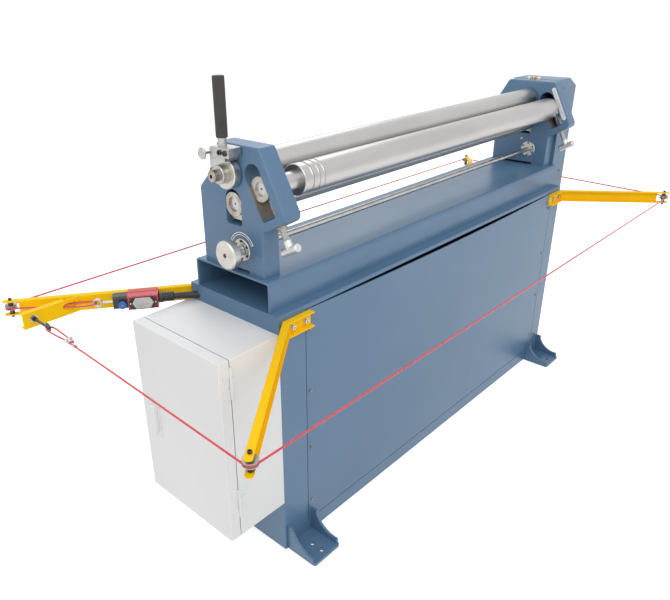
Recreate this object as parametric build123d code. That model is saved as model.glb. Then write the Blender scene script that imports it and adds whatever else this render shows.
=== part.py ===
from build123d import *
import math
import os

os.makedirs("parts", exist_ok=True)

# Plate rolling machine in millimetres. The origin is on the floor under the middle of the stand,
# +X runs from the control box end (near) to the gear end (far), -Y is the front, +Z is up.

# Stand and its panels
stand_length = 1700.0
stand_depth = 364.0
stand_height = 800.0
stand_wall = 5.0
face_wall = 6.0
stand_top_lip = 12.0
stand_bend = 4.0
panel_thickness = 3.0
panel_near_margin = 105.0
panel_far_margin = 82.0
panel_base = 50.0
panel_gap = 2.5
panel_lip = 26.0
panel_dip = 12.0
panel_screw_inset = 15.0
panel_screw_low = 122.0
panel_screw_drop = 77.0
panel_screw_rows = 4
screw_head_radius = 5.0
screw_head_height = 4.0
screw_shank_radius = 3.0
shelf_thickness = 8.0
shelf_length = 500.0
shelf_leg = 40.0

# Anchor feet
foot_width = 115.0
foot_reach = 113.0
foot_thickness = 10.0
foot_inset = 10.0
gusset_thickness = 8.0
gusset_height = 88.0
gusset_top = 22.0
gusset_toe = 26.0
gusset_shoulder = 14.0
gusset_curve = 17.0
anchor_hole_radius = 7.0
anchor_outer_reach = 88.0
anchor_inner_reach = 50.0

# Top beam and housings
beam_width = 298.0
beam_height = 84.0
beam_wall = 6.0
beam_corner = 12.0
beam_setback = 4.0
housing_thickness = 58.5
crown_rise = 72.0
housing_base = 241.0
housing_setback = 16.0
housing_edge_round = 5.0
nose_wall = 54.4
nose_drop = 104.0
nose_round = 20.0
brow_round = 12.0
chin_round = 14.0
back_round = 14.0
far_crown_rear = 80.0
far_shoulder_drop = 69.0
near_crown_rear = 36.0
near_waist_rear = 82.0
near_waist_drop = 92.0
near_shoulder_drop = 131.0
relief_width = 125.0
relief_height = 9.0
oil_cup_pitch = 21.0
oil_cup_radius = 7.0
oil_cup_height = 8.0
oil_lid_height = 5.0

# Rolls
roll_radius = 42.0
roll_gap = 1.0
pinch_y = -14.0
lower_axis_rise = 118.0
bend_y = -110.0
bend_rise = 54.5
incline = 28.5
roll_end_gap = 6.0
bend_near_gap = 70.0
bend_far_gap = 16.0
top_journal_radius = 20.0
lower_journal_radius = 20.0
bend_neck_radius = 25.0
bend_journal_radius = 18.0
running_clearance = 0.05
slide_clearance = 0.2
groove_places = (29.0, 53.0, 73.0)
groove_widths = (8.0, 7.0, 6.5)

# Slots and bearing blocks
bend_slot_width = 55.0
bend_pocket_radius = 30.0
bend_block_radius = 32.0
bend_block_depth = 52.0
journal_recess = 6.0
centre_hole_radius = 3.0
centre_hole_depth = 6.0
bend_lift = 4.0
bend_drop = 45.0
bend_end_room = 3.0
lower_slot_width = 60.0
lower_slot_floor = 55.0
lower_slot_rise = 10.0
lower_slot_corner = 8.0
lower_block_drop = 44.0
lower_bush_radius = 32.0
lower_bush_inset = 1.0
lower_foot_setback = 14.0
lower_travel = 8.0
bush_radius = 31.0
far_pocket_depth = 18.0
far_pocket_rise = 30.0

# Bending screws with their T handles
screw_radius = 8.0
screw_hub_reach = 166.0
screw_hub_radius = 11.0
screw_hub_room = 26.0
handle_length = 62.0
handle_radius = 11.5
nut_radius = 11.5
nut_collar_radius = 14.5
nut_collar = 4.0

# Setting shaft of the lower roll
shaft_y = -40.0
shaft_rise = 64.0
shaft_radius = 9.0
cam_radius = 20.0
cam_turn = 240.0
cam_width = 28.0
cam_gap = 0.3
cam_pocket_radius = 22.0
cam_pocket_floor = 14.0
shaft_tail = 10.0
lift_pin_radius = 6.0
lift_pin_offset = 6.0
flange_radius = 30.5
flange_thickness = 3.5
flange_spigot = 6.0
flange_screw_circle = 25.2
flange_screw_radius = 2.2
flange_screw_head = 3.2
flange_head_height = 2.5
flange_screw_count = 6
knob_radius = 39.0
knob_width = 26.0
knob_gap = 31.5
knob_hub_radius = 14.0
knob_hub_gap = 1.5
knob_edge = 4.0
knob_socket = 7.0
scale_inner = 40.0
scale_outer = 48.0
scale_from = 10.0
scale_to = 155.0
scale_thickness = 0.8
strip_length = 136.0
strip_width = 16.0
strip_inset = 5.0
strip_rise = 1.0

# Quick release of the top roll
release_radius = 41.0
release_width = 23.0
release_gap = 2.0
collar_radius = 24.0
collar_width = 21.0
tail_radius = 15.0
tail_length = 20.0
clamp_front = 44.0
clamp_rear = 24.0
clamp_bottom = 44.5
saddle_front = 30.0
saddle_bottom = 36.0
clamp_top = 69.0
clamp_depth = 42.0
clamp_screw_radius = 6.5
clamp_screw_places = (-31.5, -12.0)
clamp_screw_drop = 12.0
clamp_screw_proud = 3.0
rod_radius = 11.5
rod_length = 178.0
rod_seat = 18.0
grip_start = 20.0
grip_length = 144.0
grip_radius = 15.0
grip_round = 2.5
index_plate_thickness = 8.0
leaf_root = 8.0
leaf_toe = 39.0
leaf_toe_rise = 17.0
leaf_top = 56.0
leaf_rear = 68.0
leaf_setback = 2.0
leaf_round = 5.0
plunger_radius = 4.0
plunger_knob_radius = 15.0
plunger_knob_width = 6.0
plunger_stem = 38.0
plunger_y = 31.0
plunger_rise = 48.5

# Drive
gear_teeth = 18
gear_width = 30.0
gear_gap = 14.0
gear_play = 0.5
pressure_angle = 20.0
hub_radius = 26.0
chain_pitch = 19.05
chain_roller_radius = 6.1
top_sprocket_teeth = 20
drive_sprocket_teeth = 15
sprocket_width = 10.0
sprocket_gap = 14.0
chain_plate_half = 8.0
chain_plate_thickness = 2.5
chain_side_gap = 0.2
chain_pin_radius = 3.0
chain_pin_margin = 30.0
drive_height = 400.0
drive_shaft_radius = 16.0
drive_shaft_hole = 24.0
reducer_length = 150.0
reducer_width = 170.0
reducer_above = 95.0
reducer_below = 90.0
reducer_gap = 40.0
output_boss = 15.0
output_boss_radius = 45.0
output_depth = 60.0
shaft_overhang = 8.0
motor_radius = 82.0
motor_length = 250.0
motor_fins = 20
fin_height = 6.0
fin_width = 4.0
fin_margin = 20.0
fan_length = 60.0
motor_lid = 90.0
reducer_round = 12.0
fan_round = 15.0

# Gear cover
cover_depth = 122.0
cover_front = -132.0
cover_rear = 88.0
cover_drop = 80.0
cover_rise = 1.0
cover_bevel = 28.0
cover_edge = 4.0
cover_wall = 2.5
cover_flange = 14.0
cover_screw_setback = 42.0
cover_screw_low = 60.0
cover_screw_high = 40.0

# Control box
box_depth = 206.0
box_overlap = 1.0
box_drop = 51.0
box_height = 565.0
box_wall = 2.0
box_bend = 3.0
door_depth = 33.0
door_gap = 2.5
hinge_radius = 4.0
hinge_stand = 4.3
hinge_pin_radius = 2.0
hinge_length = 30.0
hinge_leaf = 24.0
hinge_low = 117.0
hinge_high = 65.0
hinge_end_gap = 0.4
plate_margin = 28.0
plate_thickness = 3.0
rail_depth = 8.0
rail_width = 35.0
terminal_level = 140.0
contactor_level = 330.0
contactor_count = 5
contactor_size = (72.0, 45.0, 80.0)
terminal_count = 10
terminal_size = (37.0, 18.0, 50.0)
device_gap = 5.0
transformer_size = (80.0, 100.0, 70.0)
lock_inset = 63.0
lock_rise = 273.0
lock_width = 38.0
lock_length = 125.0
lock_plate = 4.0
lever_width = 24.0
lever_length = 100.0
lever_thickness = 12.0
lever_pivot_rise = 38.0
lever_pin_radius = 8.0
latch_thickness = 4.0
latch_width = 20.0
latch_reach = 32.0

# Corner arms, pulleys and trip rope
arm_height = 45.0
arm_drop = 40.0
arm_flange = 19.0
arm_wall = 4.0
arm_edge = 3.0
arm_leg = 104.0
arm_web_cut = 24.0
arm_tip = 21.0
arm_bolt_radius = 4.0
arm_bolt_pitch = 50.0
arm_bolt_drop = 2.0
pulley_offset = 10.5
pulley_radius = 17.0
pulley_width = 12.0
pulley_seat_gap = 0.3
pulley_bolt_radius = 3.0
pulley_spacer_radius = 7.0
cap_head_share = 1.625
cap_height_share = 2.0
socket_share = 0.87
nut_share = 1.875
nut_height_share = 1.6
washer_share = 2.15
washer_thickness = 1.6
rope_radius = 2.5
rope_rise = 3.0
rope_wrap = 14.5
bight_gap = 1.0
rope_clamp_reach = 104.0
tail_clamp_reach = 102.0
strand_gap = 3.4
dead_end = 16.0
clamp_length = 22.0
clamp_wall = 2.5
ferrule_length = 12.0
ferrule_radius = 5.0
ferrule_reach = 30.0
easy_bend = 90.0
switch_leg_start = 206.0
switch_leg_bend = 337.0
switch_leg_end = 162.0
switch_flange_start = 38.0
rope_slot_width = 44.0
rope_slot_height = 18.0
eyebolt_reach = 133.0
eye_wire = 4.0
eye_hole = 5.0
eyebolt_length = 81.0

# Rope-pull switch
switch_start = 106.0
switch_length = 88.0
switch_height = 44.0
switch_rise = 6.0
switch_base = 22.0
switch_cover = 32.0
switch_cover_round = 4.0
face_plate_length = 58.0
face_plate_height = 32.0
face_plate_point = 9.0
face_plate_proud = 1.5
head_length = 40.0
head_height = 38.0
pull_travel = 4.0
rod_bore_end = 4.0
pull_rod_radius = 3.5
pull_rod_length = 44.0
pull_eye_hole = 6.0
reset_radius = 11.5
reset_length = 8.0
reset_travel = 3.0
reset_place = 14.0
reset_drop = 3.0
gland_radius = 14.0
gland_length = 42.0
gland_nut_radius = 16.0
gland_nut_width = 10.0
gland_nut_inset = 14.0
conduit_radius = 10.0
conduit_entry_inset = 40.0
conduit_inside = 15.0
conduit_straight = 20.0
conduit_bend = 60.0

# Places that follow from the sizes above
half_length = stand_length / 2
front = -stand_depth / 2
rear = stand_depth / 2
beam_top = stand_height + beam_height
shaft_height = beam_top + shaft_rise
lower_axis_height = shaft_height + lower_axis_rise
top_axis_height = lower_axis_height + 2 * roll_radius + roll_gap
bend_height = lower_axis_height + bend_rise
crown = top_axis_height + crown_rise
near_out = -half_length + housing_setback
near_in = near_out + housing_thickness
far_out = half_length
far_in = far_out - housing_thickness
lean = math.radians(incline)
bend_slot_drop = bend_block_radius + bend_drop + bend_end_room
bend_pocket_rise = bend_block_radius + bend_lift
screw_hub_length = screw_hub_reach - nose_drop - nut_collar - bend_lift - screw_hub_room
lift_pin_y = shaft_y + lift_pin_offset
arm_centre = stand_height - arm_drop
arm_low = arm_centre - arm_height / 2
arm_high = arm_centre + arm_height / 2
rope_height = arm_centre + rope_rise
gear_start = far_out + gear_gap
gear_end = gear_start + gear_width
sprocket_start = gear_end + sprocket_gap
sprocket_end = sprocket_start + sprocket_width
cover_out = far_out + cover_depth
cover_top = crown + cover_rise
cover_base = drive_height - cover_drop
cover_screw_heights = (cover_base + cover_screw_low, beam_top - cover_screw_high)
shelf_top = drive_height - reducer_below
shelf_height = shelf_top - shelf_thickness
box_width = stand_depth + 2 * box_overlap
box_back = -half_length
box_base = stand_height - box_drop - box_height
hinge_heights = (box_base + hinge_low, box_base + box_height - hinge_high)
lock_height = box_base + lock_rise
lock_y = box_width / 2 - lock_inset
box_front = box_back - box_depth
door_back = box_front + door_depth
body_front = door_back + door_gap
hinge_x = (door_back + body_front) / 2
hinge_y = -box_width / 2 - hinge_stand


def block(x0, x1, y0, y1, z0, z1):
    """Box between two corners."""
    size = Box(x1 - x0, y1 - y0, z1 - z0)
    return Pos((x0 + x1) / 2, (y0 + y1) / 2, (z0 + z1) / 2) * size


def round_bar(length, radius):
    """Cylinder standing on its own origin, along its own Z."""
    return Cylinder(radius, length, align=(Align.CENTER, Align.CENTER, Align.MIN))


def bar_x(x0, x1, y, z, radius):
    return Pos(x0, y, z) * Rot(0, 90, 0) * round_bar(x1 - x0, radius)


def bar_y(y0, y1, x, z, radius):
    return Pos(x, y0, z) * Rot(-90, 0, 0) * round_bar(y1 - y0, radius)


def bar_z(z0, z1, x, y, radius):
    return Pos(x, y, z0) * round_bar(z1 - z0, radius)


def slab_x(face, x0, x1):
    """Outline drawn in Y and Z, made solid from x0 to x1."""
    return extrude(Plane.YZ.offset(x0) * face, amount=x1 - x0)


def polygon(points):
    return make_face(Polyline(*points, close=True))


def slope_plane(x):
    """Plane across the machine at x: local x goes rearward across the incline, local y up along it."""
    across = (0, math.cos(lean), -math.sin(lean))
    return Plane(origin=(x, bend_y, bend_height), x_dir=across, z_dir=(1, 0, 0))


def slope_point(across, along):
    """Y and Z of a place given across and along the incline, from the bending axis."""
    y = bend_y + across * math.cos(lean) + along * math.sin(lean)
    z = bend_height - across * math.sin(lean) + along * math.cos(lean)
    return y, z


def slope_bar(x, start, end, radius):
    """Round bar on the incline's centre line, between two places along it."""
    y, z = slope_point(0, start)
    axis = (0, math.sin(lean), math.cos(lean))
    return Plane(origin=(x, y, z), z_dir=axis) * round_bar(end - start, radius)


def pan_screw(length):
    """Screw with its head's seat at its own origin, shank along -Z."""
    head = fillet(round_bar(screw_head_height, screw_head_radius).edges().group_by(Axis.Z)[-1], 1.5)
    slot = Pos(0, 0, screw_head_height) * Box(screw_head_radius * 1.5, 1.2, 2.0)
    shank = Pos(0, 0, -length) * round_bar(length, screw_shank_radius)
    return head - slot + shank


def socket_screw(grip, radius, washer):
    """Socket screw with its seat at its own origin, and a nut at the end of its grip."""
    head_height = radius * cap_height_share
    head = round_bar(head_height, radius * cap_head_share)
    head = chamfer(head.edges().group_by(Axis.Z)[-1], head_height * 0.1)
    head -= Pos(0, 0, head_height / 2) * extrude(RegularPolygon(radius * socket_share, 6), head_height)
    if washer > 0:
        head = Pos(0, 0, washer) * head + round_bar(washer, radius * washer_share)
    nut_height = radius * nut_height_share
    end = grip + nut_height
    shank = Pos(0, 0, -end - radius) * round_bar(end + radius + washer, radius)
    nut = Pos(0, 0, -end) * extrude(RegularPolygon(radius * nut_share, 6), nut_height)
    return head + shank + nut


def save(name, *solids):
    shape = solids[0] if len(solids) == 1 else Compound(children=[Part(s.wrapped) for s in solids])
    export_step(shape, f"parts/{name}.step")


# Stand

panel_x0 = -half_length + panel_near_margin
panel_x1 = half_length - panel_far_margin
panel_z1 = stand_height - stand_top_lip - panel_gap
screw_columns = (panel_x0 + panel_screw_inset, panel_x1 - panel_screw_inset)
panel_screw_high = stand_height - panel_screw_drop
screw_step = (panel_screw_high - panel_screw_low) / (panel_screw_rows - 1)
screw_levels = [panel_screw_low + screw_step * row for row in range(panel_screw_rows)]


def both_faces(shape):
    """A thing made for the front face, and its copy for the rear face."""
    return [shape, mirror(shape, about=Plane.XZ)]


def stand_frame():
    inner_x = half_length - stand_wall
    inner_y = rear - face_wall
    shell = block(-half_length, half_length, front, rear, 0, stand_height)
    top_bends = shell.edges().group_by(Axis.Z)[-1].filter_by(Axis.X)
    shell = fillet(shell.edges().filter_by(Axis.Z) + top_bends, stand_bend)
    shell -= block(-inner_x, inner_x, -inner_y, inner_y, -1, stand_height - stand_wall)
    rebate = block(panel_x0 - panel_gap, panel_x1 + panel_gap, front - 1, front + panel_thickness,
                   panel_base - panel_gap, panel_z1 + panel_gap)
    opening = block(panel_x0 + panel_lip, panel_x1 - panel_lip, front - 1, front + face_wall + 1,
                    panel_base + panel_lip, panel_z1 + panel_gap)
    for side in both_faces(rebate + opening):
        shell -= side
    for x in screw_columns:
        for z in screw_levels:
            shell -= bar_y(front - 1, rear + 1, x, z, screw_shank_radius)
    for x, y, z in arm_bolt_places():
        shell -= bar_y(min(y, 0), max(y, 0), x, z, arm_bolt_radius)
    shell -= bar_x(inner_x - 1, half_length + 1, pinch_y, drive_height, drive_shaft_hole)
    shell -= conduit_tube(conduit_radius + slide_clearance)
    shelf_x0 = inner_x - shelf_length
    shelf = block(shelf_x0, inner_x, -inner_y, inner_y, shelf_height, shelf_height + shelf_thickness)
    for y in (-inner_y + shelf_leg / 2, inner_y - shelf_leg / 2):
        leg = block(shelf_x0, shelf_x0 + shelf_leg, y - shelf_leg / 2, y + shelf_leg / 2, 0, shelf_height)
        shelf += leg
    return shell + shelf


def front_panel():
    """Flat sheet whose top edge bows down at mid length."""
    middle = (panel_x0 + panel_x1) / 2
    ends = Polyline((panel_x0, panel_z1), (panel_x0, panel_base),
                    (panel_x1, panel_base), (panel_x1, panel_z1))
    sag = ThreePointArc((panel_x1, panel_z1), (middle, panel_z1 - panel_dip), (panel_x0, panel_z1))
    sheet = extrude(Plane.XZ.offset(-front) * make_face([ends, sag]), amount=-panel_thickness)
    for x in screw_columns:
        for z in screw_levels:
            sheet -= bar_y(front - 1, front + panel_thickness + 1, x, z, screw_shank_radius)
    return sheet


def anchor_foot():
    """Foot of the front near corner, with its two curved gussets."""
    x0 = -half_length + foot_inset
    x1 = x0 + foot_width
    toe = front - foot_reach
    plate = block(x0, x1, toe, front, 0, foot_thickness)
    corners = plate.edges().filter_by(Axis.Z).group_by(Axis.Y)[0]
    plate = fillet(corners, gusset_thickness)
    for reach in (anchor_outer_reach, anchor_inner_reach):
        plate -= bar_z(-1, foot_thickness + 1, (x0 + x1) / 2, front - reach, anchor_hole_radius)
    low = (toe + gusset_thickness, gusset_toe)
    high = (front - gusset_top, gusset_height - gusset_shoulder)
    middle = ((low[0] + high[0]) / 2 + gusset_curve * 0.7, (low[1] + high[1]) / 2 - gusset_curve * 0.7)
    outline = [
        Polyline((low[0], low[1]), (low[0], foot_thickness), (front, foot_thickness),
                 (front, gusset_height), (front - gusset_top, gusset_height), high),
        ThreePointArc(high, middle, low),
    ]
    gusset = make_face(outline)
    for x in (x0, x1 - gusset_thickness):
        plate += slab_x(gusset, x, x + gusset_thickness)
    return plate


def anchor_feet():
    near_front = anchor_foot()
    pair = [near_front, mirror(near_front, about=Plane.YZ)]
    return pair + [mirror(foot, about=Plane.XZ) for foot in pair]


def panel_and_cover_screws():
    """Screws of both panels and of the gear cover."""
    screws = []
    for x in screw_columns:
        for z in screw_levels:
            screws.append(Pos(x, front, z) * Rot(90, 0, 0) * pan_screw(face_wall))
            screws.append(Pos(x, rear, z) * Rot(-90, 0, 0) * pan_screw(face_wall))
    for z in cover_screw_heights:
        x = cover_out - cover_screw_setback
        screws.append(Pos(x, cover_front, z) * Rot(90, 0, 0) * pan_screw(cover_wall))
        screws.append(Pos(x, cover_rear, z) * Rot(-90, 0, 0) * pan_screw(cover_wall))
    return screws


# Beam and housings

def top_beam():
    side = beam_width / 2
    outer = block(-half_length + beam_setback, half_length, -side, side, stand_height, beam_top)
    outer = fillet(outer.edges().filter_by(Axis.X).group_by(Axis.Z)[-1], beam_corner)
    inside = side - beam_wall
    hollow = block(-half_length, half_length + 1, -inside, inside, stand_height - 1, beam_top - beam_wall)
    hollow = fillet(hollow.edges().filter_by(Axis.X).group_by(Axis.Z)[-1], beam_corner - beam_wall)
    return outer - hollow


def housing_outline(rear_points, rear_rounds):
    """Side plate outline: base, overhanging nose along the incline, crown, and the given rear edge."""
    base_front = -housing_base / 2
    chin_z = bend_height + (-nose_drop - (base_front - bend_y) * math.sin(lean)) / math.cos(lean)
    rise = (crown - bend_height - nose_wall * math.sin(lean)) / math.cos(lean)
    nose = slope_point(-nose_wall, -nose_drop)
    brow = slope_point(-nose_wall, rise)
    base = [(housing_base / 2, beam_top), (base_front, beam_top)]
    points = [(base_front, chin_z), nose, brow] + rear_points
    rounds = [chin_round, nose_round, brow_round] + rear_rounds
    path = FilletPolyline(base[1], *points, base[0], radius=rounds, close=False)
    return make_face([path, Line(base[0], base[1])])


def slot_cuts(x0, x1):
    """Inclined slot with its round pocket, and vertical slot, through a housing."""
    half = bend_slot_width / 2
    channel = polygon([(-half, -bend_slot_drop), (half, -bend_slot_drop), (half, bend_pocket_rise),
                       (-half, bend_pocket_rise)])
    channel = fillet(channel.vertices().group_by(Axis.Y)[0], 10)
    channel += Pos(0, bend_pocket_rise) * Circle(bend_pocket_radius)
    inclined = extrude(slope_plane(x0 - 1) * channel, amount=x1 - x0 + 2)
    wide = lower_slot_width / 2
    top = lower_axis_height + lower_slot_rise
    floor = lower_axis_height - lower_slot_floor
    gap = polygon([(pinch_y - wide, floor), (pinch_y + wide, floor),
                   (pinch_y + wide, top), (pinch_y - wide, top)])
    gap = fillet(gap.vertices().group_by(Axis.Y)[0], lower_slot_corner)
    gap += Pos(pinch_y, top) * Circle(wide)
    return [inclined, slab_x(gap, x0 - 1, x1 + 1)]


def housing(x0, x1, rear_points, rear_rounds, outer_is_near):
    """Cast side plate with its slots, bores, cam pocket and relief slit."""
    plate = slab_x(housing_outline(rear_points, rear_rounds), x0, x1)
    faces = plate.faces().filter_by(Axis.X)
    rim = [edge for face in faces for edge in face.edges() if edge.center().Z > beam_top + 1]
    plate = fillet(rim, housing_edge_round)
    for cut in slot_cuts(x0, x1):
        plate -= cut
    plate -= bar_x(x0 - 1, x1 + 1, pinch_y, top_axis_height, bush_radius)
    middle = (x0 + x1) / 2
    plate -= slope_bar(middle, -nose_drop - nut_collar - 1, -bend_slot_drop + 5, nut_radius)
    pocket_x0 = x0 - 1
    pocket_x1 = x1 - cam_pocket_floor
    plate -= bar_x(pocket_x0, pocket_x1, shaft_y, shaft_height, cam_pocket_radius)
    if outer_is_near:
        plate -= bar_x(x0, x1 + 1, shaft_y, shaft_height, shaft_radius + running_clearance)
    else:
        plate -= bar_x(x0, pocket_x1 + shaft_tail, shaft_y, shaft_height, shaft_radius + running_clearance)
    cam_middle = x0 + flange_spigot + cam_width / 2 + 2
    pin_top = lower_axis_height - lower_slot_floor + lower_slot_corner
    plate -= bar_z(shaft_height, pin_top, cam_middle, lift_pin_y, lift_pin_radius + slide_clearance)
    for index in range(flange_screw_count):
        y, z = flange_screw_place(index)
        plate -= bar_x(x0 - 1, x0 + flange_spigot, y, z, flange_screw_radius)
    half_relief = relief_width / 2
    plate -= block(x0 - 1, x1 + 1, -half_relief, half_relief, beam_top - 1, beam_top + relief_height)
    return plate


def flange_screw_place(index):
    turn = math.radians(90 + 360 / flange_screw_count * index)
    return shaft_y + flange_screw_circle * math.cos(turn), shaft_height + flange_screw_circle * math.sin(turn)


def near_housing():
    points = [
        (near_crown_rear, crown),
        (near_waist_rear, crown - near_waist_drop),
        (housing_base / 2, crown - near_shoulder_drop),
    ]
    return housing(near_out, near_in, points, [brow_round, back_round * 4, back_round], True)


def far_housing():
    points = [(far_crown_rear, crown), (housing_base / 2, crown - far_shoulder_drop)]
    plate = housing(far_in, far_out, points, [back_round, back_round], False)
    wide = lower_slot_width / 2
    pocket = block(far_in - 1, far_in + far_pocket_depth, pinch_y - wide, pinch_y + wide,
                   top_axis_height - bush_radius, top_axis_height + far_pocket_rise)
    pocket = fillet(pocket.edges().filter_by(Axis.X), housing_edge_round)
    return plate - pocket


def scale_plates():
    """Arc scale round the setting knob and straight scale on the far nose."""
    ring = Circle(scale_outer) - Circle(scale_inner)
    reach = scale_outer * 2
    start = math.radians(scale_from)
    end = math.radians(scale_to)
    middle = (start + end) / 2
    wedge = polygon([(0, 0)] + [(reach * math.cos(a), reach * math.sin(a)) for a in (start, middle, end)])
    sector = Pos(shaft_y, shaft_height) * (ring & wedge)
    arc = slab_x(sector, near_out - scale_thickness, near_out)
    centre = -nose_wall + strip_inset + strip_width / 2
    strip = Pos(centre, strip_rise) * SlotOverall(strip_length, strip_width, rotation=90)
    strip = extrude(slope_plane(far_in) * strip, amount=-scale_thickness)
    return [arc, strip]


def oil_cups():
    """Three lidded oil cups on the far crown."""
    cups = []
    for step in (-1, 0, 1):
        x = (far_in + far_out) / 2
        y = pinch_y + step * oil_cup_pitch
        rim = crown + oil_cup_height
        body = bar_z(crown, rim, x, y, oil_cup_radius)
        lid = round_bar(oil_lid_height, oil_cup_radius + 1)
        lid = Pos(x, y, rim) * fillet(lid.edges().group_by(Axis.Z)[-1], oil_lid_height / 2)
        cups.append(body + lid)
    return cups


# Rolls and their bearings

def top_roll():
    near_tip = near_out - release_gap - release_width - collar_width - tail_length
    collar_start = near_tip + tail_length
    roll = bar_x(near_in + roll_end_gap, far_in - roll_end_gap, pinch_y, top_axis_height, roll_radius)
    roll = chamfer(roll.edges(), 2)
    roll += bar_x(collar_start, sprocket_end + shaft_overhang, pinch_y, top_axis_height, top_journal_radius)
    collar = bar_x(collar_start, collar_start + collar_width, pinch_y, top_axis_height, collar_radius)
    roll += chamfer(collar.edges(), 2)
    tail = bar_x(near_tip, collar_start, pinch_y, top_axis_height, tail_radius)
    roll += chamfer(tail.edges().group_by(Axis.X)[0], 2)
    return roll - bar_x(near_tip - 1, near_tip + 14, pinch_y, top_axis_height, tail_radius / 3)


def lower_roll():
    roll = bar_x(near_in + roll_end_gap, far_in - roll_end_gap, pinch_y, lower_axis_height, roll_radius)
    roll = chamfer(roll.edges(), 2)
    start = near_out + lower_bush_inset + journal_recess
    end = gear_end + shaft_overhang
    roll += bar_x(start, end, pinch_y, lower_axis_height, lower_journal_radius)
    return roll - bar_x(start - 1, start + centre_hole_depth, pinch_y, lower_axis_height, centre_hole_radius)


def bend_roll():
    """Bending roll with wire grooves near its near end."""
    start = near_in + bend_near_gap
    end = far_in - bend_far_gap
    roll = chamfer(bar_x(start, end, bend_y, bend_height, roll_radius).edges(), 2)
    for place, width in zip(groove_places, groove_widths):
        ring = Pos(start + place, bend_y, bend_height) * Rot(0, 90, 0) * Torus(roll_radius, width / 2)
        roll -= ring
    roll += bar_x(near_in + 1, start, bend_y, bend_height, bend_neck_radius)
    roll += bar_x(end, far_in - 1, bend_y, bend_height, bend_neck_radius)
    journal_x0 = near_in - bend_block_depth + journal_recess
    journal_x1 = far_in + bend_block_depth - journal_recess
    roll += bar_x(journal_x0, journal_x1, bend_y, bend_height, bend_journal_radius)
    return roll - bar_x(journal_x0 - 1, journal_x0 + centre_hole_depth, bend_y, bend_height, centre_hole_radius)


def bend_block(x0, x1):
    """Round bearing block with two flats, which slides in an inclined slot."""
    flats = Rectangle(bend_slot_width - 2 * slide_clearance, 2 * bend_block_radius)
    body = extrude(slope_plane(x0) * (Circle(bend_block_radius) & flats), amount=x1 - x0)
    return body - bar_x(x0 - 1, x1 + 1, bend_y, bend_height, bend_journal_radius + running_clearance)


def bend_blocks():
    return [bend_block(near_in - bend_block_depth, near_in), bend_block(far_in, far_in + bend_block_depth)]


def lower_block(housing_x0, bush_x0, bush_x1, foot_x0, foot_x1):
    """Round bearing block in the vertical slot, on a foot with the pin that stands on the lift cam."""
    width = lower_slot_width - 2 * slide_clearance
    bush = Circle(lower_bush_radius) & Rectangle(width, 2 * lower_bush_radius)
    body = slab_x(Pos(pinch_y, lower_axis_height) * bush, bush_x0, bush_x1)
    foot = Pos(pinch_y, lower_axis_height - lower_block_drop / 2) * Rectangle(width, lower_block_drop)
    foot = fillet(foot.vertices().group_by(Axis.Y)[0], lower_slot_corner)
    body += slab_x(foot, foot_x0, foot_x1)
    pin_x = cam_start(housing_x0) + cam_width / 2
    pin_end = shaft_height + cam_radius + cam_gap
    pin_top = lower_axis_height - lower_block_drop / 2
    body += bar_z(pin_end, pin_top, pin_x, lift_pin_y, lift_pin_radius)
    bore = lower_journal_radius + running_clearance
    return body - bar_x(bush_x0 - 1, bush_x1 + 1, pinch_y, lower_axis_height, bore)


def cam_start(housing_x0):
    return housing_x0 + flange_spigot + 2


def lower_blocks():
    near = lower_block(near_out, near_out + lower_bush_inset, near_in, near_out + lower_foot_setback, near_in)
    far = lower_block(far_in, far_in, far_out - lower_bush_inset, far_in, far_out - lower_foot_setback)
    return [near, far]


def bushes_and_nuts():
    """Bronze bushes of the top roll and brass nuts of the bending screws."""
    bore = top_journal_radius + running_clearance
    pieces = []
    for x0, x1 in ((near_out, near_in), (far_in + far_pocket_depth, far_out)):
        ring = bar_x(x0, x1, pinch_y, top_axis_height, bush_radius)
        pieces.append(ring - bar_x(x0 - 1, x1 + 1, pinch_y, top_axis_height, bore))
    for x in (screw_x("near"), screw_x("far")):
        nut = slope_bar(x, -nose_drop, -bend_slot_drop, nut_radius)
        nut += slope_bar(x, -nose_drop - nut_collar, -nose_drop, nut_collar_radius)
        hole = screw_radius + running_clearance
        pieces.append(nut - slope_bar(x, -nose_drop - 2 * nut_collar, -bend_slot_drop + 1, hole))
    return pieces


def screw_x(end):
    return (near_out + near_in) / 2 if end == "near" else (far_in + far_out) / 2


def bend_screw(end):
    """Screw that carries a bending block, with a T handle across its foot."""
    x = screw_x(end)
    screw = slope_bar(x, -screw_hub_reach, -bend_block_radius - cam_gap, screw_radius)
    hub = slope_bar(x, -screw_hub_reach, -screw_hub_reach + screw_hub_length, screw_hub_radius)
    hub = chamfer(hub.edges().group_by(Axis.Z)[-1], 2)
    y, z = slope_point(-handle_length / 2, -screw_hub_reach)
    across = (0, math.cos(lean), -math.sin(lean))
    handle = fillet(round_bar(handle_length, handle_radius).edges().group_by(Axis.Z)[0], 4)
    handle = fillet(handle.edges().group_by(Axis.Z)[-1], 4)
    return screw + hub + Plane(origin=(x, y, z), z_dir=across) * handle


# Setting shaft

def cross_shaft():
    start = near_out - flange_thickness - knob_gap - knob_width + knob_socket * 2
    end = far_out - cam_pocket_floor + shaft_tail
    return bar_x(start, end, shaft_y, shaft_height, shaft_radius)


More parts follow.
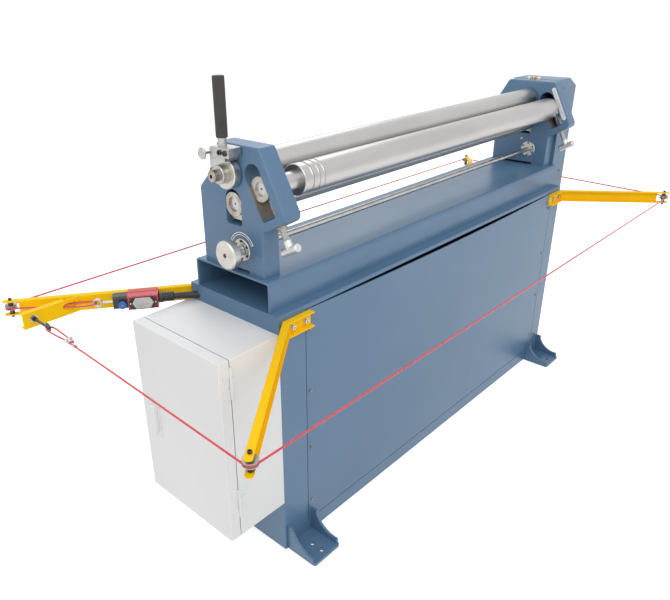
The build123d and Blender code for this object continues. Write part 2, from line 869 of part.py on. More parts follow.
def lift_cams():
    """Snail cams: the radius falls steadily from the top, by the lower roll's travel over the cam's turn."""
    steps = 24
    fall = [cam_radius - lower_travel * step / steps for step in range(steps + 1)]
    turns = [math.radians(90 + cam_turn * step / steps) for step in range(steps + 1)]
    points = [(r * math.cos(a), r * math.sin(a)) for r, a in zip(fall, turns)]
    back = math.radians(90 + (360 + cam_turn) / 2)
    mean = (fall[0] + fall[-1]) / 2
    heel = ThreePointArc(points[-1], (mean * math.cos(back), mean * math.sin(back)), points[0])
    face = make_face([Spline(*points), heel]) - Circle(shaft_radius)
    face = Pos(shaft_y, shaft_height) * face
    return [slab_x(face, x, x + cam_width) for x in (cam_start(near_out), cam_start(far_in))]


def shaft_flanges():
    """Screwed flanges that close the cam pockets and carry the setting shaft."""
    flanges = []
    for x in (near_out, far_in):
        plate = bar_x(x - flange_thickness, x, shaft_y, shaft_height, flange_radius)
        plate = chamfer(plate.edges().group_by(Axis.X)[0], 1.5)
        plate += bar_x(x, x + flange_spigot, shaft_y, shaft_height, cam_pocket_radius - running_clearance)
        bore = shaft_radius + running_clearance
        plate -= bar_x(x - 20, x + 20, shaft_y, shaft_height, bore)
        for index in range(flange_screw_count):
            y, z = flange_screw_place(index)
            plate -= bar_x(x - flange_thickness - 1, x + flange_spigot + 1, y, z, flange_screw_radius)
        flanges.append(plate)
    return flanges


def flange_screws():
    """Cap screws of both shaft flanges."""
    screws = []
    for x in (near_out, far_in):
        for index in range(flange_screw_count):
            y, z = flange_screw_place(index)
            shank = bar_x(x - flange_thickness, x + flange_spigot, y, z, flange_screw_radius)
            seat = x - flange_thickness
            head = bar_x(seat - flange_head_height, seat, y, z, flange_screw_head)
            screws.append(shank + head)
    return screws


def adjust_knob():
    back = near_out - flange_thickness - knob_gap
    face = back - knob_width
    knob = bar_x(face, back, shaft_y, shaft_height, knob_radius)
    knob = chamfer(knob.edges(), knob_edge)
    seat = face + knob_socket * 2
    socket = slab_x(Pos(shaft_y, shaft_height) * RegularPolygon(knob_socket, 6), face - 1, seat)
    hub_end = near_out - flange_thickness - knob_hub_gap
    knob += bar_x(back - knob_edge, hub_end, shaft_y, shaft_height, knob_hub_radius)
    bore = bar_x(seat, hub_end + 1, shaft_y, shaft_height, shaft_radius)
    return knob - socket - bore


# Quick release

def release_disc():
    x1 = near_out - release_gap
    disc = bar_x(x1 - release_width, x1, pinch_y, top_axis_height, release_radius)
    disc = chamfer(disc.edges(), 2)
    bore = top_journal_radius + running_clearance
    return disc - bar_x(x1 - release_width - 1, x1 + 1, pinch_y, top_axis_height, bore)


clamp_x1 = near_out - release_gap
clamp_x0 = clamp_x1 - clamp_depth
rod_x = (clamp_x0 + clamp_x1) / 2
index_x0 = clamp_x1 - leaf_setback - index_plate_thickness


def lever_clamp():
    """Clamp block that sits on the disc, with the plate that holds the index plunger."""
    body = block(clamp_x0, clamp_x1, pinch_y - clamp_front, pinch_y + clamp_rear,
                 top_axis_height + clamp_bottom, top_axis_height + clamp_top)
    body = chamfer(body.edges(), 1.5)
    body += block(clamp_x0, clamp_x1, pinch_y - saddle_front, pinch_y + clamp_rear,
                  top_axis_height + saddle_bottom, top_axis_height + clamp_top - rod_seat)
    root = pinch_y + clamp_rear - leaf_root
    tip = pinch_y + leaf_rear
    top = top_axis_height + leaf_top
    leaf = FilletPolyline((root, top), (tip, top), (tip, top_axis_height),
                          (pinch_y + leaf_toe, top_axis_height + leaf_toe_rise),
                          (root, top_axis_height + saddle_bottom), radius=leaf_round, close=True)
    body += slab_x(make_face(leaf), index_x0, index_x0 + index_plate_thickness)
    body -= bar_x(clamp_x0 - 1, clamp_x1 + 1, pinch_y, top_axis_height, release_radius)
    seat = top_axis_height + clamp_top - rod_seat
    body -= bar_z(seat, seat + rod_length, rod_x, pinch_y, rod_radius)
    hole = plunger_radius + running_clearance
    body -= bar_x(clamp_x0, clamp_x1, plunger_y, top_axis_height + plunger_rise, hole)
    for place in clamp_screw_places:
        y = pinch_y + place
        z = top_axis_height + clamp_top - clamp_screw_drop
        face = clamp_x0 - clamp_screw_proud
        socket = slab_x(Pos(y, z) * RegularPolygon(clamp_screw_radius * 0.55, 6), face - 1, clamp_x0 - 1)
        body += bar_x(face, clamp_x0 + 1, y, z, clamp_screw_radius) - socket
    return body


def lever_rod():
    z0 = top_axis_height + clamp_top - rod_seat
    return bar_z(z0, z0 + rod_length, rod_x, pinch_y, rod_radius)


def lever_grip():
    """Smooth grip with rounded ends, on the upper part of the rod."""
    z0 = top_axis_height + clamp_top + grip_start
    grip = bar_z(z0, z0 + grip_length, rod_x, pinch_y, grip_radius)
    return fillet(grip.edges(), grip_round) - lever_rod()


def index_plunger():
    """Spring plunger that locks the lever: pin, stem and knurled knob."""
    z = top_axis_height + plunger_rise
    face = index_x0 - plunger_stem
    pin = bar_x(face, near_out - 1, plunger_y, z, plunger_radius)
    knob = bar_x(face - plunger_knob_width, face, plunger_y, z, plunger_knob_radius)
    return pin + chamfer(knob.edges(), 1.5)


# Drive

def involute(angle):
    return math.tan(angle) - angle


def gear(x0, x1, z_axis, phase):
    """Spur gear whose tooth size fills the distance between the two pinch rolls."""
    module = (2 * roll_radius + roll_gap) / gear_teeth
    pitch = module * gear_teeth / 2
    base = pitch * math.cos(math.radians(pressure_angle))
    tip = pitch + 0.9 * module
    root = pitch - 1.2 * module
    half_tooth = math.pi / (2 * gear_teeth) - gear_play / (2 * pitch)
    radii = [max(base, root) + (tip - max(base, root)) * step / 4 for step in range(5)]
    widest = half_tooth + involute(math.radians(pressure_angle))
    spread = [widest - involute(math.acos(base / r)) for r in radii]
    flank = [(root, spread[0])] + list(zip(radii, spread))
    points = []
    for tooth in range(gear_teeth):
        centre = 2 * math.pi * tooth / gear_teeth + phase
        for radius, angle in flank:
            points.append((radius * math.cos(centre - angle), radius * math.sin(centre - angle)))
        for radius, angle in reversed(flank):
            points.append((radius * math.cos(centre + angle), radius * math.sin(centre + angle)))
    face = Pos(pinch_y, z_axis) * (polygon(points) - Circle(top_journal_radius))
    return slab_x(face, x0, x1)


def sprocket_pitch(teeth):
    return chain_pitch / 2 / math.sin(math.pi / teeth)


def sprocket(teeth, z_axis, bore):
    """Chain wheel with round tooth gaps and a hub on its inner side."""
    pitch = sprocket_pitch(teeth)
    face = Circle(pitch + chain_roller_radius * 0.6)
    for index in range(teeth):
        turn = 2 * math.pi * index / teeth
        face -= Pos(pitch * math.cos(turn), pitch * math.sin(turn)) * Circle(chain_roller_radius)
    wheel = slab_x(Pos(pinch_y, z_axis) * face, sprocket_start, sprocket_end)
    hub_start = sprocket_start - sprocket_gap / 2
    wheel += bar_x(hub_start, sprocket_start, pinch_y, z_axis, hub_radius)
    return wheel - bar_x(hub_start - 1, sprocket_end + 1, pinch_y, z_axis, bore)


def chain_band(margin):
    """Outline round both sprockets at a distance from the chain's pitch line."""
    low = Pos(pinch_y, drive_height) * Circle(sprocket_pitch(drive_sprocket_teeth) + margin)
    high = Pos(pinch_y, top_axis_height) * Circle(sprocket_pitch(top_sprocket_teeth) + margin)
    return make_hull([*low.edges(), *high.edges()])


def drive_chain():
    """Both plate bands of the chain, joined by its pins along the two straight runs."""
    band = chain_band(chain_plate_half) - chain_band(-chain_plate_half)
    near_x = sprocket_start - chain_side_gap
    far_x = sprocket_end + chain_side_gap
    chain = slab_x(band, near_x - chain_plate_thickness, near_x)
    chain += slab_x(band, far_x, far_x + chain_plate_thickness)
    r_low = sprocket_pitch(drive_sprocket_teeth)
    r_high = sprocket_pitch(top_sprocket_teeth)
    span = top_axis_height - drive_height
    tilt = math.asin((r_high - r_low) / span)
    run = span * math.cos(tilt)
    margin = r_high + chain_pin_margin
    count = int((run - 2 * margin) / (2 * chain_pitch))
    for index in range(count + 1):
        along = margin + 2 * chain_pitch * index
        for side in (-1, 1):
            y = pinch_y + side * (r_low * math.cos(tilt) + along * math.sin(tilt))
            z = drive_height - r_low * math.sin(tilt) + along * math.cos(tilt)
            chain += bar_x(near_x, far_x, y, z, chain_pin_radius)
    return chain


reducer_x1 = half_length - stand_wall - reducer_gap
reducer_x0 = reducer_x1 - reducer_length


def gearbox():
    """Reducer on the shelf, with the boss and bore of its output shaft."""
    y0 = pinch_y - reducer_width / 2
    body = block(reducer_x0, reducer_x1, y0, y0 + reducer_width, shelf_top, drive_height + reducer_above)
    body = fillet(body.edges().filter_by(Axis.X), reducer_round)
    body += bar_x(reducer_x1, reducer_x1 + output_boss, pinch_y, drive_height, output_boss_radius)
    bore = drive_shaft_radius + running_clearance
    return body - bar_x(reducer_x1 - output_depth, reducer_x1 + output_boss + 1, pinch_y, drive_height, bore)


def drive_sprocket():
    """Lower chain wheel on the reducer's output shaft."""
    start = reducer_x1 - output_depth + 1
    shaft = bar_x(start, sprocket_end + shaft_overhang, pinch_y, drive_height, drive_shaft_radius)
    return sprocket(drive_sprocket_teeth, drive_height, drive_shaft_radius) + shaft


def drive_motor():
    """Finned motor flanged to the reducer, with its fan cover."""
    fan_x0 = reducer_x0 - motor_length - fan_length
    body = bar_x(reducer_x0 - motor_length, reducer_x0, pinch_y, drive_height, motor_radius - fin_height)
    for index in range(motor_fins):
        turn = 360 / motor_fins * index
        fin_length = motor_length - 2 * fin_margin
        fin = Pos(0, 0, motor_radius - fin_height) * Box(fin_length, fin_width, fin_height * 2)
        body += Pos(reducer_x0 - motor_length / 2, pinch_y, drive_height) * Rot(turn, 0, 0) * fin
    fan = bar_x(fan_x0, reducer_x0 - motor_length, pinch_y, drive_height, motor_radius)
    body += fillet(fan.edges().group_by(Axis.X)[0], fan_round)
    lid_x = reducer_x0 - motor_length / 2
    lid_half = motor_lid / 2
    lid_base = drive_height + motor_radius - 2 * fin_height
    lid = block(lid_x - lid_half, lid_x + lid_half, pinch_y - lid_half, pinch_y + lid_half,
                lid_base, lid_base + lid_half)
    return body + fillet(lid.edges().filter_by(Axis.Z), fin_height)


def gear_cover():
    """Sheet cover over the drive, with a bevel at its front top and a flange on the machine's end."""
    points = [(cover_front, cover_base), (cover_front, cover_top - cover_bevel),
              (cover_front + cover_bevel, cover_top), (cover_rear, cover_top), (cover_rear, cover_base)]
    outline = polygon(points)
    skin = slab_x(outline, far_out, cover_out)
    skin = fillet(skin.edges().group_by(Axis.X)[-1] + skin.edges().filter_by(Axis.X), cover_edge)
    hollow = slab_x(offset(outline, -cover_wall, kind=Kind.INTERSECTION), far_out - 1, cover_out - cover_wall)
    mouth = offset(outline, -cover_flange, kind=Kind.INTERSECTION)
    mouth_cut = slab_x(mouth, far_out - 1, far_out + cover_wall + 1)
    hollow -= slab_x(outline, far_out - 1, far_out + cover_wall)
    cover = skin - hollow - mouth_cut
    for z in cover_screw_heights:
        x = cover_out - cover_screw_setback
        cover -= bar_y(cover_front - 1, cover_front + cover_wall + 1, x, z, screw_shank_radius)
        cover -= bar_y(cover_rear - cover_wall - 1, cover_rear + 1, x, z, screw_shank_radius)
    return cover


# Control box

def control_box():
    side = box_width / 2
    shell = block(body_front, box_back, -side, side, box_base, box_base + box_height)
    shell = fillet(shell.edges().filter_by(Axis.X), box_bend)
    inner = side - box_wall
    return shell - block(body_front - 1, box_back - box_wall, -inner, inner,
                         box_base + box_wall, box_base + box_height - box_wall)


def control_gear():
    """Mounting plate with its rail, contactors, transformer and terminals."""
    plate_x = box_back - box_wall
    side = box_width / 2 - plate_margin
    z0 = box_base + plate_margin
    z1 = box_base + box_height - plate_margin
    rail_x = plate_x - plate_thickness
    rail_face = rail_x - rail_depth
    gear_set = block(rail_x, plate_x, -side, side, z0, z1)
    rail_side = side - plate_margin / 2
    for level in (terminal_level, contactor_level):
        z = z0 + level
        gear_set += block(rail_face, rail_x, -rail_side, rail_side, z - rail_width / 2, z + rail_width / 2)
    rows = ((contactor_level, contactor_count, contactor_size),
            (terminal_level, terminal_count, terminal_size))
    for level, count, (depth, width, height) in rows:
        z = z0 + level
        for index in range(count):
            y = (index - count / 2) * (width + device_gap)
            gear_set += block(rail_face - depth, rail_face, y, y + width, z - height / 2, z + height / 2)
    depth, width, height = transformer_size
    return gear_set + block(rail_x - depth, rail_x, -width / 2, width / 2, z0, z0 + height)


def door_knuckles(z, level, pin):
    """Hinge barrel length on the hinge line: the middle one carries the pin."""
    z0 = z + level * (hinge_length + hinge_end_gap) - hinge_length / 2
    barrel = bar_z(z0, z0 + hinge_length, hinge_x, hinge_y, hinge_radius)
    if pin:
        reach = hinge_length + hinge_end_gap
        return barrel + bar_z(z0 - reach, z0 + hinge_length + reach, hinge_x, hinge_y, hinge_pin_radius)
    hole = hinge_pin_radius + running_clearance
    return barrel - bar_z(z0 - 1, z0 + hinge_length + 1, hinge_x, hinge_y, hole)


def hinge_plate(z, level, x1):
    """Leaf from a knuckle along the side of the box or of the door."""
    z0 = z + level * (hinge_length + hinge_end_gap) - hinge_length / 2
    side = -box_width / 2
    leaf = block(min(hinge_x, x1), max(hinge_x, x1), side - 2, side, z0, z0 + hinge_length)
    hole = hinge_pin_radius + running_clearance
    return leaf - bar_z(z0 - 1, z0 + hinge_length + 1, hinge_x, hinge_y, hole)


def door_hinges():
    """Fixed halves of both hinges, with their pins."""
    halves = []
    for z in hinge_heights:
        halves.append(hinge_plate(z, 0, hinge_x + hinge_leaf) + door_knuckles(z, 0, True))
    return halves


def box_door():
    """Shallow pan door with the moving hinge halves on its side."""
    side = box_width / 2
    top = box_base + box_height
    pan = block(box_front, door_back, -side, side, box_base, top)
    pan = fillet(pan.edges().group_by(Axis.X)[0] + pan.edges().filter_by(Axis.X), box_bend)
    inner = side - box_wall
    pan -= block(box_front + box_wall, door_back + 1, -inner, inner, box_base + box_wall, top - box_wall)
    for z in hinge_heights:
        for level in (-1, 1):
            pan += hinge_plate(z, level, hinge_x - hinge_leaf) + door_knuckles(z, level, False)
    plate = block(box_front - lock_plate, box_front, lock_y - lock_width / 2, lock_y + lock_width / 2,
                  lock_height - lock_length / 2, lock_height + lock_length / 2)
    pan += fillet(plate.edges().filter_by(Axis.X), 8)
    pivot_z = lock_height + lever_pivot_rise
    return pan - bar_x(box_front - lock_plate - 1, box_front + box_wall + 1, lock_y, pivot_z,
                       lever_pin_radius + running_clearance)


def door_handle():
    """Turning handle with its pin through the door and the cam behind it."""
    pivot_z = lock_height + lever_pivot_rise
    x1 = box_front - lock_plate - pulley_seat_gap
    x0 = x1 - lever_thickness
    lever = Pos(lock_y, pivot_z + lever_width / 2 - lever_length / 2) * SlotOverall(lever_length, lever_width,
                                                                                   rotation=90)
    lever = slab_x(lever, x0, x1)
    lever = fillet(lever.edges().group_by(Axis.X)[0], 3)
    lever += bar_x(x1, box_front + box_wall + 2 * latch_thickness, lock_y, pivot_z, lever_pin_radius)
    cam_x = box_front + box_wall + latch_thickness
    half = latch_width / 2
    return lever + block(cam_x, cam_x + latch_thickness, lock_y - half, lock_y + half,
                         pivot_z - half, pivot_z + latch_reach)


# Corner arms. Each is bent from a channel: its leg lies on the stand, its long limb carries a pulley.
# side: -1 near or front, +1 far or rear; inset of the bend from the stand's end; first bolt from the bend;
# pulley centre outward of the bend along X and Y.

corner_arms = {
    "front_near": dict(end=-1, side=-1, inset=15.0, first=32.0, out_x=421.0, out_y=336.0),
    "front_far": dict(end=1, side=-1, inset=2.0, first=20.0, out_x=242.0, out_y=343.0),
    "rear_far": dict(end=1, side=1, inset=2.0, first=20.0, out_x=322.0, out_y=281.0),
    "rear_near": dict(end=-1, side=1, inset=15.0, first=32.0, out_x=416.0, out_y=311.0),
}


def arm_bend(arm):
    return arm["end"] * (half_length - arm["inset"]), arm["side"] * stand_depth / 2


def pulley_centre(arm):
    x, y = arm_bend(arm)
    return x + arm["end"] * arm["out_x"], y + arm["side"] * arm["out_y"]


def arm_bolt_places():
    places = []
    for arm in corner_arms.values():
        x, y = arm_bend(arm)
        for distance in (arm["first"], arm["first"] + arm_bolt_pitch):
            places.append((x - arm["end"] * distance, y + arm["side"], arm_centre - arm_bolt_drop))
    return places


def limb_heading(arm):
    """Direction of the long limb of a near front arm, and how far along it the pulley lies."""
    reach = math.hypot(arm["out_x"], arm["out_y"])
    angle = math.atan2(-arm["out_y"], -arm["out_x"]) - math.asin(pulley_offset / reach)
    return angle, math.sqrt(reach ** 2 - pulley_offset ** 2)


def channel(length, web_length):
    """Channel along its own X, web on its own X axis, flanges towards +Y."""
    half = arm_height / 2
    web = block(0, web_length, 0, arm_wall, -half, half)
    flange = block(0, length, 0, arm_flange, half - arm_wall, half)
    flange += block(0, length, 0, arm_flange, -half, -half + arm_wall)
    return web + flange


def folded(shape):
    """Channel with its two folds rounded on the outside of its web."""
    half = arm_height / 2
    bends = [edge for edge in shape.edges().filter_by(Axis.X)
             if edge.center().Y < arm_edge / 2 and abs(edge.center().Z) > half - arm_edge / 2]
    return fillet(bends, arm_edge)


def corner_arm(arm):
    angle, along = limb_heading(arm)
    length = along + arm_tip
    limb = channel(length, along - arm_web_cut)
    tips = limb.edges().filter_by(Axis.Z).group_by(Axis.X)[-1]
    limb = folded(fillet(tips, arm_flange * 0.4))
    limb -= bar_z(-arm_height, arm_height, along, pulley_offset, pulley_bolt_radius)
    heading = (math.cos(angle), math.sin(angle), 0)
    limb = Plane(origin=(0, 0, 0), x_dir=heading, z_dir=(0, 0, 1)) * limb
    leg = mirror(channel(arm_leg, arm_leg), about=Plane.XZ)
    for distance in (arm["first"], arm["first"] + arm_bolt_pitch):
        leg -= bar_y(-arm_wall - 1, 1, distance, -arm_bolt_drop, arm_bolt_radius)
    shape = leg + limb
    if arm["end"] > 0:
        shape = mirror(shape, about=Plane.YZ)
    if arm["side"] > 0:
        shape = mirror(shape, about=Plane.XZ)
    x, y = arm_bend(arm)
    return Pos(x, y, arm_centre) * shape


def pulley(arm):
    """Grooved rope wheel, turned about its bolt."""
    half = pulley_width / 2
    groove = rope_wrap - rope_radius - pulley_seat_gap
    outline = [
        (pulley_bolt_radius + running_clearance, -half), (pulley_radius, -half), (pulley_radius, -half + 2),
        (groove, -rope_radius * 0.8), (groove, rope_radius * 0.8), (pulley_radius, half - 2),
        (pulley_radius, half), (pulley_bolt_radius + running_clearance, half),
    ]
    wheel = revolve(Plane.XZ * polygon(outline), Axis.Z)
    x, y = pulley_centre(arm)
    return Pos(x, y, rope_height) * wheel


def bolts():
    """Arm bolts into the stand, and pulley bolts with their spacers."""
    pieces = []
    grip = arm_wall + face_wall
    for x, y, z in arm_bolt_places():
        side = math.copysign(1, y)
        seat = side * (stand_depth / 2 + arm_wall)
        turn = Rot(90, 0, 0) if side < 0 else Rot(-90, 0, 0)
        bolt = socket_screw(grip, arm_bolt_radius, washer_thickness)
        pieces.append(Pos(x, seat, z) * turn * bolt)
    inside = arm_height / 2 - arm_wall
    for arm in corner_arms.values():
        x, y = pulley_centre(arm)
        bolt = socket_screw(arm_height, pulley_bolt_radius, 0)
        bolt = Pos(0, 0, arm_height / 2) * bolt
        seat = pulley_width / 2 + pulley_seat_gap
        bolt += bar_z(rope_rise + seat, inside, 0, 0, pulley_spacer_radius)
        bolt += bar_z(-inside, rope_rise - seat, 0, 0, pulley_spacer_radius)
        pieces.append(Pos(x, y, arm_centre) * bolt)
    return pieces


# Switch arm and switch, laid out along the back of the near rear arm.
# along: from that arm's bend towards its tip; out: from its web towards the machine.

rear_near = corner_arms["rear_near"]
near_angle, near_along = limb_heading(rear_near)
limb_x = math.cos(near_angle)
limb_y = -math.sin(near_angle)
limb_plane = Plane(origin=(*arm_bend(rear_near), arm_centre), x_dir=(limb_x, limb_y, 0), z_dir=(0, 0, 1))


def limb_point(along, out):
    """X and Y of a place beside the near rear arm."""
    x, y = arm_bend(rear_near)
    return x + along * limb_x - out * limb_y, y + along * limb_y + out * limb_x


bend_x, bend_end_y = limb_point(switch_leg_bend, arm_wall)
switch_web_y = bend_end_y
end_leg_x0 = bend_x - switch_leg_end
eyebolt_x = bend_x - eyebolt_reach


def meet(p, d, q, e):
    """Crossing of two lines in plan, each given by a point and a direction."""
    cross = d[0] * e[1] - d[1] * e[0]
    t = ((q[0] - p[0]) * e[1] - (q[1] - p[1]) * e[0]) / cross
    return p[0] + d[0] * t, p[1] + d[1] * t


def turned(v, angle):
    c = math.cos(angle)
    s = math.sin(angle)
    return v[0] * c - v[1] * s, v[0] * s + v[1] * c


def unit(v):
    size = math.hypot(*v)
    return v[0] / size, v[1] / size


def shifted(p, d, distance):
    return p[0] + d[0] * distance, p[1] + d[1] * distance


def between(p, q):
    return q[0] - p[0], q[1] - p[1]


def to_pulley(p, centre):
    """Direction from a point to the tangent that leaves the pulley on its left."""
    v = between(p, centre)
    return unit(turned(v, -math.asin(rope_wrap / math.hypot(*v))))


def from_pulley(centre, p):
    """Direction to a point along the tangent that leaves the pulley on its left."""
    v = between(centre, p)
    return unit(turned(v, math.asin(rope_wrap / math.hypot(*v))))


def on_limb(shape):
    """Place a shape drawn with X along the near rear arm and Y out from its web."""
    return limb_plane * shape


switch_mid = switch_rise
axis_out = arm_wall + switch_base
head_start = switch_start + switch_length
eye_along = head_start + head_length + pull_rod_length
tail_wire = limb_point(eye_along + pull_eye_hole + eye_wire, axis_out)
tail_run = from_pulley(pulley_centre(rear_near), tail_wire)
tail_aside = (tail_run[1], -tail_run[0])
slot_x = meet(tail_wire, tail_run, (0, switch_web_y - arm_wall / 2), (1, 0))[0]


def switch_arm():
    """Flat leg on the near rear arm, then a channel end along -X with the rope slot and the eyebolt hole."""
    half = arm_height / 2
    leg = on_limb(block(switch_leg_start, switch_leg_bend, 0, arm_wall, -half, half))
    z0 = arm_low
    z1 = arm_high
    web_front = switch_web_y - arm_wall
    web = block(end_leg_x0, bend_x + 1, web_front, switch_web_y, z0, z1)
    for low in (z0, z1 - arm_wall):
        web += block(end_leg_x0, bend_x - switch_flange_start, web_front, web_front + arm_flange,
                     low, low + arm_wall)
    slot = extrude(SlotOverall(rope_slot_width, rope_slot_height), 2 * arm_wall, both=True)
    web -= Pos(slot_x, switch_web_y - arm_wall / 2, rope_height) * Rot(90, 0, 0) * slot
    web -= bar_y(web_front - 1, switch_web_y + 1, eyebolt_x, rope_height, eye_wire)
    return leg + web


def rope_eyebolt():
    """Eyebolt through the switch arm, with a nut and washer on each side of the web."""
    ring_y = eyebolt_ring_y
    bolt = bar_y(ring_y + eye_hole + eye_wire, switch_web_y + 14, eyebolt_x, rope_height, eye_wire)
    for y in (switch_web_y - arm_wall - 9, switch_web_y):
        nut = Pos(eyebolt_x, y, rope_height) * Rot(-90, 0, 0) * extrude(RegularPolygon(8, 6), 7)
        bolt += nut
    bolt += bar_y(switch_web_y - arm_wall - 2, switch_web_y - arm_wall, eyebolt_x, rope_height, 11)
    ring = Pos(eyebolt_x, ring_y, rope_height) * Rot(0, 90, 0) * Torus(eye_hole + eye_wire, eye_wire)
    return bolt + ring


def switch_body():
    """Base of the switch on the arm's web, with its head and the conduit end."""
    half = switch_height / 2
    base = block(switch_start, head_start, 0, switch_base, switch_mid - half, switch_mid + half)
    base = fillet(base.edges().filter_by(Axis.Y), 6)
    top = head_height / 2
    head = block(head_start, head_start + head_length, 4, axis_out + top, switch_mid - top, switch_mid + top)
    head = fillet(head.edges().filter_by(Axis.X), 7)
    bore = pull_rod_radius + running_clearance
    head -= bar_x(head_start + rod_bore_end, head_start + head_length + 1, axis_out, switch_mid, bore)
    reset_along = head_start + reset_place
    reset_z = switch_mid - reset_drop
    head -= bar_y(axis_out + top - 10, axis_out + top + 1, reset_along, reset_z, 4 + running_clearance)
    return on_limb(base + head)


def switch_cover_shell():
    """Red cover on the switch base, with a shallow plate on its face."""
    half = switch_height / 2 - 1
    cover = block(switch_start + 1, head_start - 1, switch_base, switch_base + switch_cover,
                  switch_mid - half, switch_mid + half)
    cover = fillet(cover.edges().group_by(Axis.Y)[-1], switch_cover_round)
    plate = Pos(switch_start + switch_length / 2, switch_base + switch_cover, switch_mid) * Rot(-90, 0, 0)
    tip = face_plate_length / 2
    side = face_plate_height / 2
    flat = tip - face_plate_point
    shape = polygon([(tip, 0), (flat, side), (-flat, side), (-tip, 0), (-flat, -side), (flat, -side)])
    return on_limb(cover + plate * extrude(shape, face_plate_proud))


def pull_eye():
    """Sliding rod of the switch with its ring for the rope."""
    start = head_start + rod_bore_end + 2 * pull_travel
    rod = bar_x(start, eye_along - pull_eye_hole - eye_wire + 1, axis_out, switch_mid, pull_rod_radius)
    ring = Pos(eye_along, axis_out, switch_mid) * Rot(90, 0, 0) * Torus(pull_eye_hole + eye_wire, eye_wire)
    return on_limb(rod + ring)


def reset_knob():
    """Blue reset knob on the head, pushed in to reset."""
    top = axis_out + head_height / 2
    along = head_start + reset_place
    z = switch_mid - reset_drop
    stem = bar_y(top - 5, top + reset_travel + 1, along, z, 4)
    knob = bar_y(top + reset_travel + 0.5, top + reset_travel + reset_length, along, z, reset_radius)
    return on_limb(stem + chamfer(knob.edges().group_by(Axis.Y)[-1], 1.5))


def conduit_route():
    """From the gland on the switch to a point inside the stand's near end."""
    x0, y0 = limb_point(switch_start - gland_length, axis_out)
    x1, y1 = limb_point(switch_start - gland_length - conduit_straight, axis_out)
    z = arm_centre + switch_mid
    end_x = -half_length + conduit_inside
    return [(x0, y0, z), (x1, y1, z), (end_x, rear - conduit_entry_inset, z)]


def tube(path, radius):
    """Round tube along a path, started square to it."""
    start = path @ 0
    profile = Plane(origin=start, z_dir=path % 0) * Circle(radius)
    return sweep(profile, path=path)


def conduit_tube(radius):
    points = conduit_route()
    return tube(FilletPolyline(*points, radius=conduit_bend), radius)


def conduit():
    """Black conduit with its gland, from the switch into the stand."""
    gland = bar_x(switch_start - gland_length, switch_start, axis_out, switch_mid, gland_radius)
    nut = extrude(RegularPolygon(gland_nut_radius, 6), gland_nut_width)
    nut = Pos(switch_start - gland_nut_inset, axis_out, switch_mid) * Rot(0, 90, 0) * nut
    return on_limb(gland + nut) + conduit_tube(conduit_radius)


# Trip rope: an eye at the eyebolt, four pulleys, the slot of the switch arm, an eye at the switch

def rope_lines():
    """Straight runs of the rope in plan from clamp to clamp, each as a point and a direction."""
    centres = [pulley_centre(arm) for arm in corner_arms.values()]
    lines = [(first_live, to_pulley(first_live, centres[0]))]
    for here, there in zip(centres, centres[1:]):
        d = unit(between(here, there))
        lines.append((shifted(here, (d[1], -d[0]), rope_wrap), d))
    away = from_pulley(centres[-1], tail_live)
    incoming = lines[-1][1]
    swing = math.acos(incoming[0] * away[0] + incoming[1] * away[1]) / 2
    middle = turned(incoming, swing)
    lines.append((shifted(centres[-1], (middle[1], -middle[0]), rope_wrap), middle))
    lines.append((tail_live, away))
    return lines


bight = eye_wire + rope_radius + bight_gap
eyebolt_ring_y = switch_web_y - arm_wall - eyebolt_length
first_wire_y = eyebolt_ring_y - eye_hole - eye_wire
first_clamp_y = first_wire_y - rope_clamp_reach
first_live = (eyebolt_x - strand_gap, first_clamp_y)
tail_clamp = shifted(tail_wire, tail_run, -tail_clamp_reach)
tail_live = shifted(tail_clamp, tail_aside, strand_gap)


def rope_route():
    """Points and corner radii of the rope, from its dead end at the eyebolt to its dead end at the switch."""
    lines = rope_lines()
    corners = [meet(*a, *b) for a, b in zip(lines, lines[1:])]
    first_loop = [
        (eyebolt_x + strand_gap, first_clamp_y - dead_end),
        (eyebolt_x + bight, first_wire_y + bight),
        (eyebolt_x - bight, first_wire_y + bight),
        first_live,
    ]
    tip = shifted(tail_wire, tail_run, bight)
    tail_loop = [
        tail_live,
        shifted(tip, tail_aside, bight),
        shifted(tip, tail_aside, -bight),
        shifted(shifted(tail_clamp, tail_aside, -strand_gap), tail_run, -dead_end),
    ]
    tight = bight - running_clearance
    wrap = rope_wrap - running_clearance
    radii = [tight, tight, easy_bend] + [wrap] * len(corners) + [easy_bend, tight, tight]
    return [(x, y, rope_height) for x, y in first_loop + corners + tail_loop], radii


def rope_path():
    points, radii = rope_route()
    return FilletPolyline(*points, radius=radii)


def trip_rope():
    path = rope_path()
    rope = tube(path, rope_radius)
    print("rope length", round(path.length), "radii", [round(r, 1) for r in rope_route()[1]])
    print("rope volume share", round(rope.volume / (math.pi * rope_radius ** 2 * path.length), 4))
    return rope


def rope_clamps():
    """Clamps that hold both strands of each end loop, and the ferrule on the live rope beyond the first."""
    passage = tube(rope_path(), rope_radius + running_clearance)
    wide = 2 * (strand_gap + rope_radius + clamp_wall)
    tall = 2 * (rope_radius + clamp_wall)
    clamp = fillet(Box(clamp_length, wide, tall).edges(), clamp_wall * 0.8)
    pieces = []
    for place, run in (((eyebolt_x, first_clamp_y), (0, 1)), (tail_clamp, tail_run)):
        seat = Plane(origin=(*place, rope_height), x_dir=(*run, 0), z_dir=(0, 0, 1))
        pieces.append(seat * clamp - passage)
    start, run = rope_lines()[0]
    place = shifted(start, run, ferrule_reach)
    seat = Plane(origin=(*place, rope_height), z_dir=(*run, 0))
    pieces.append(seat * round_bar(ferrule_length, ferrule_radius) - passage)
    return pieces


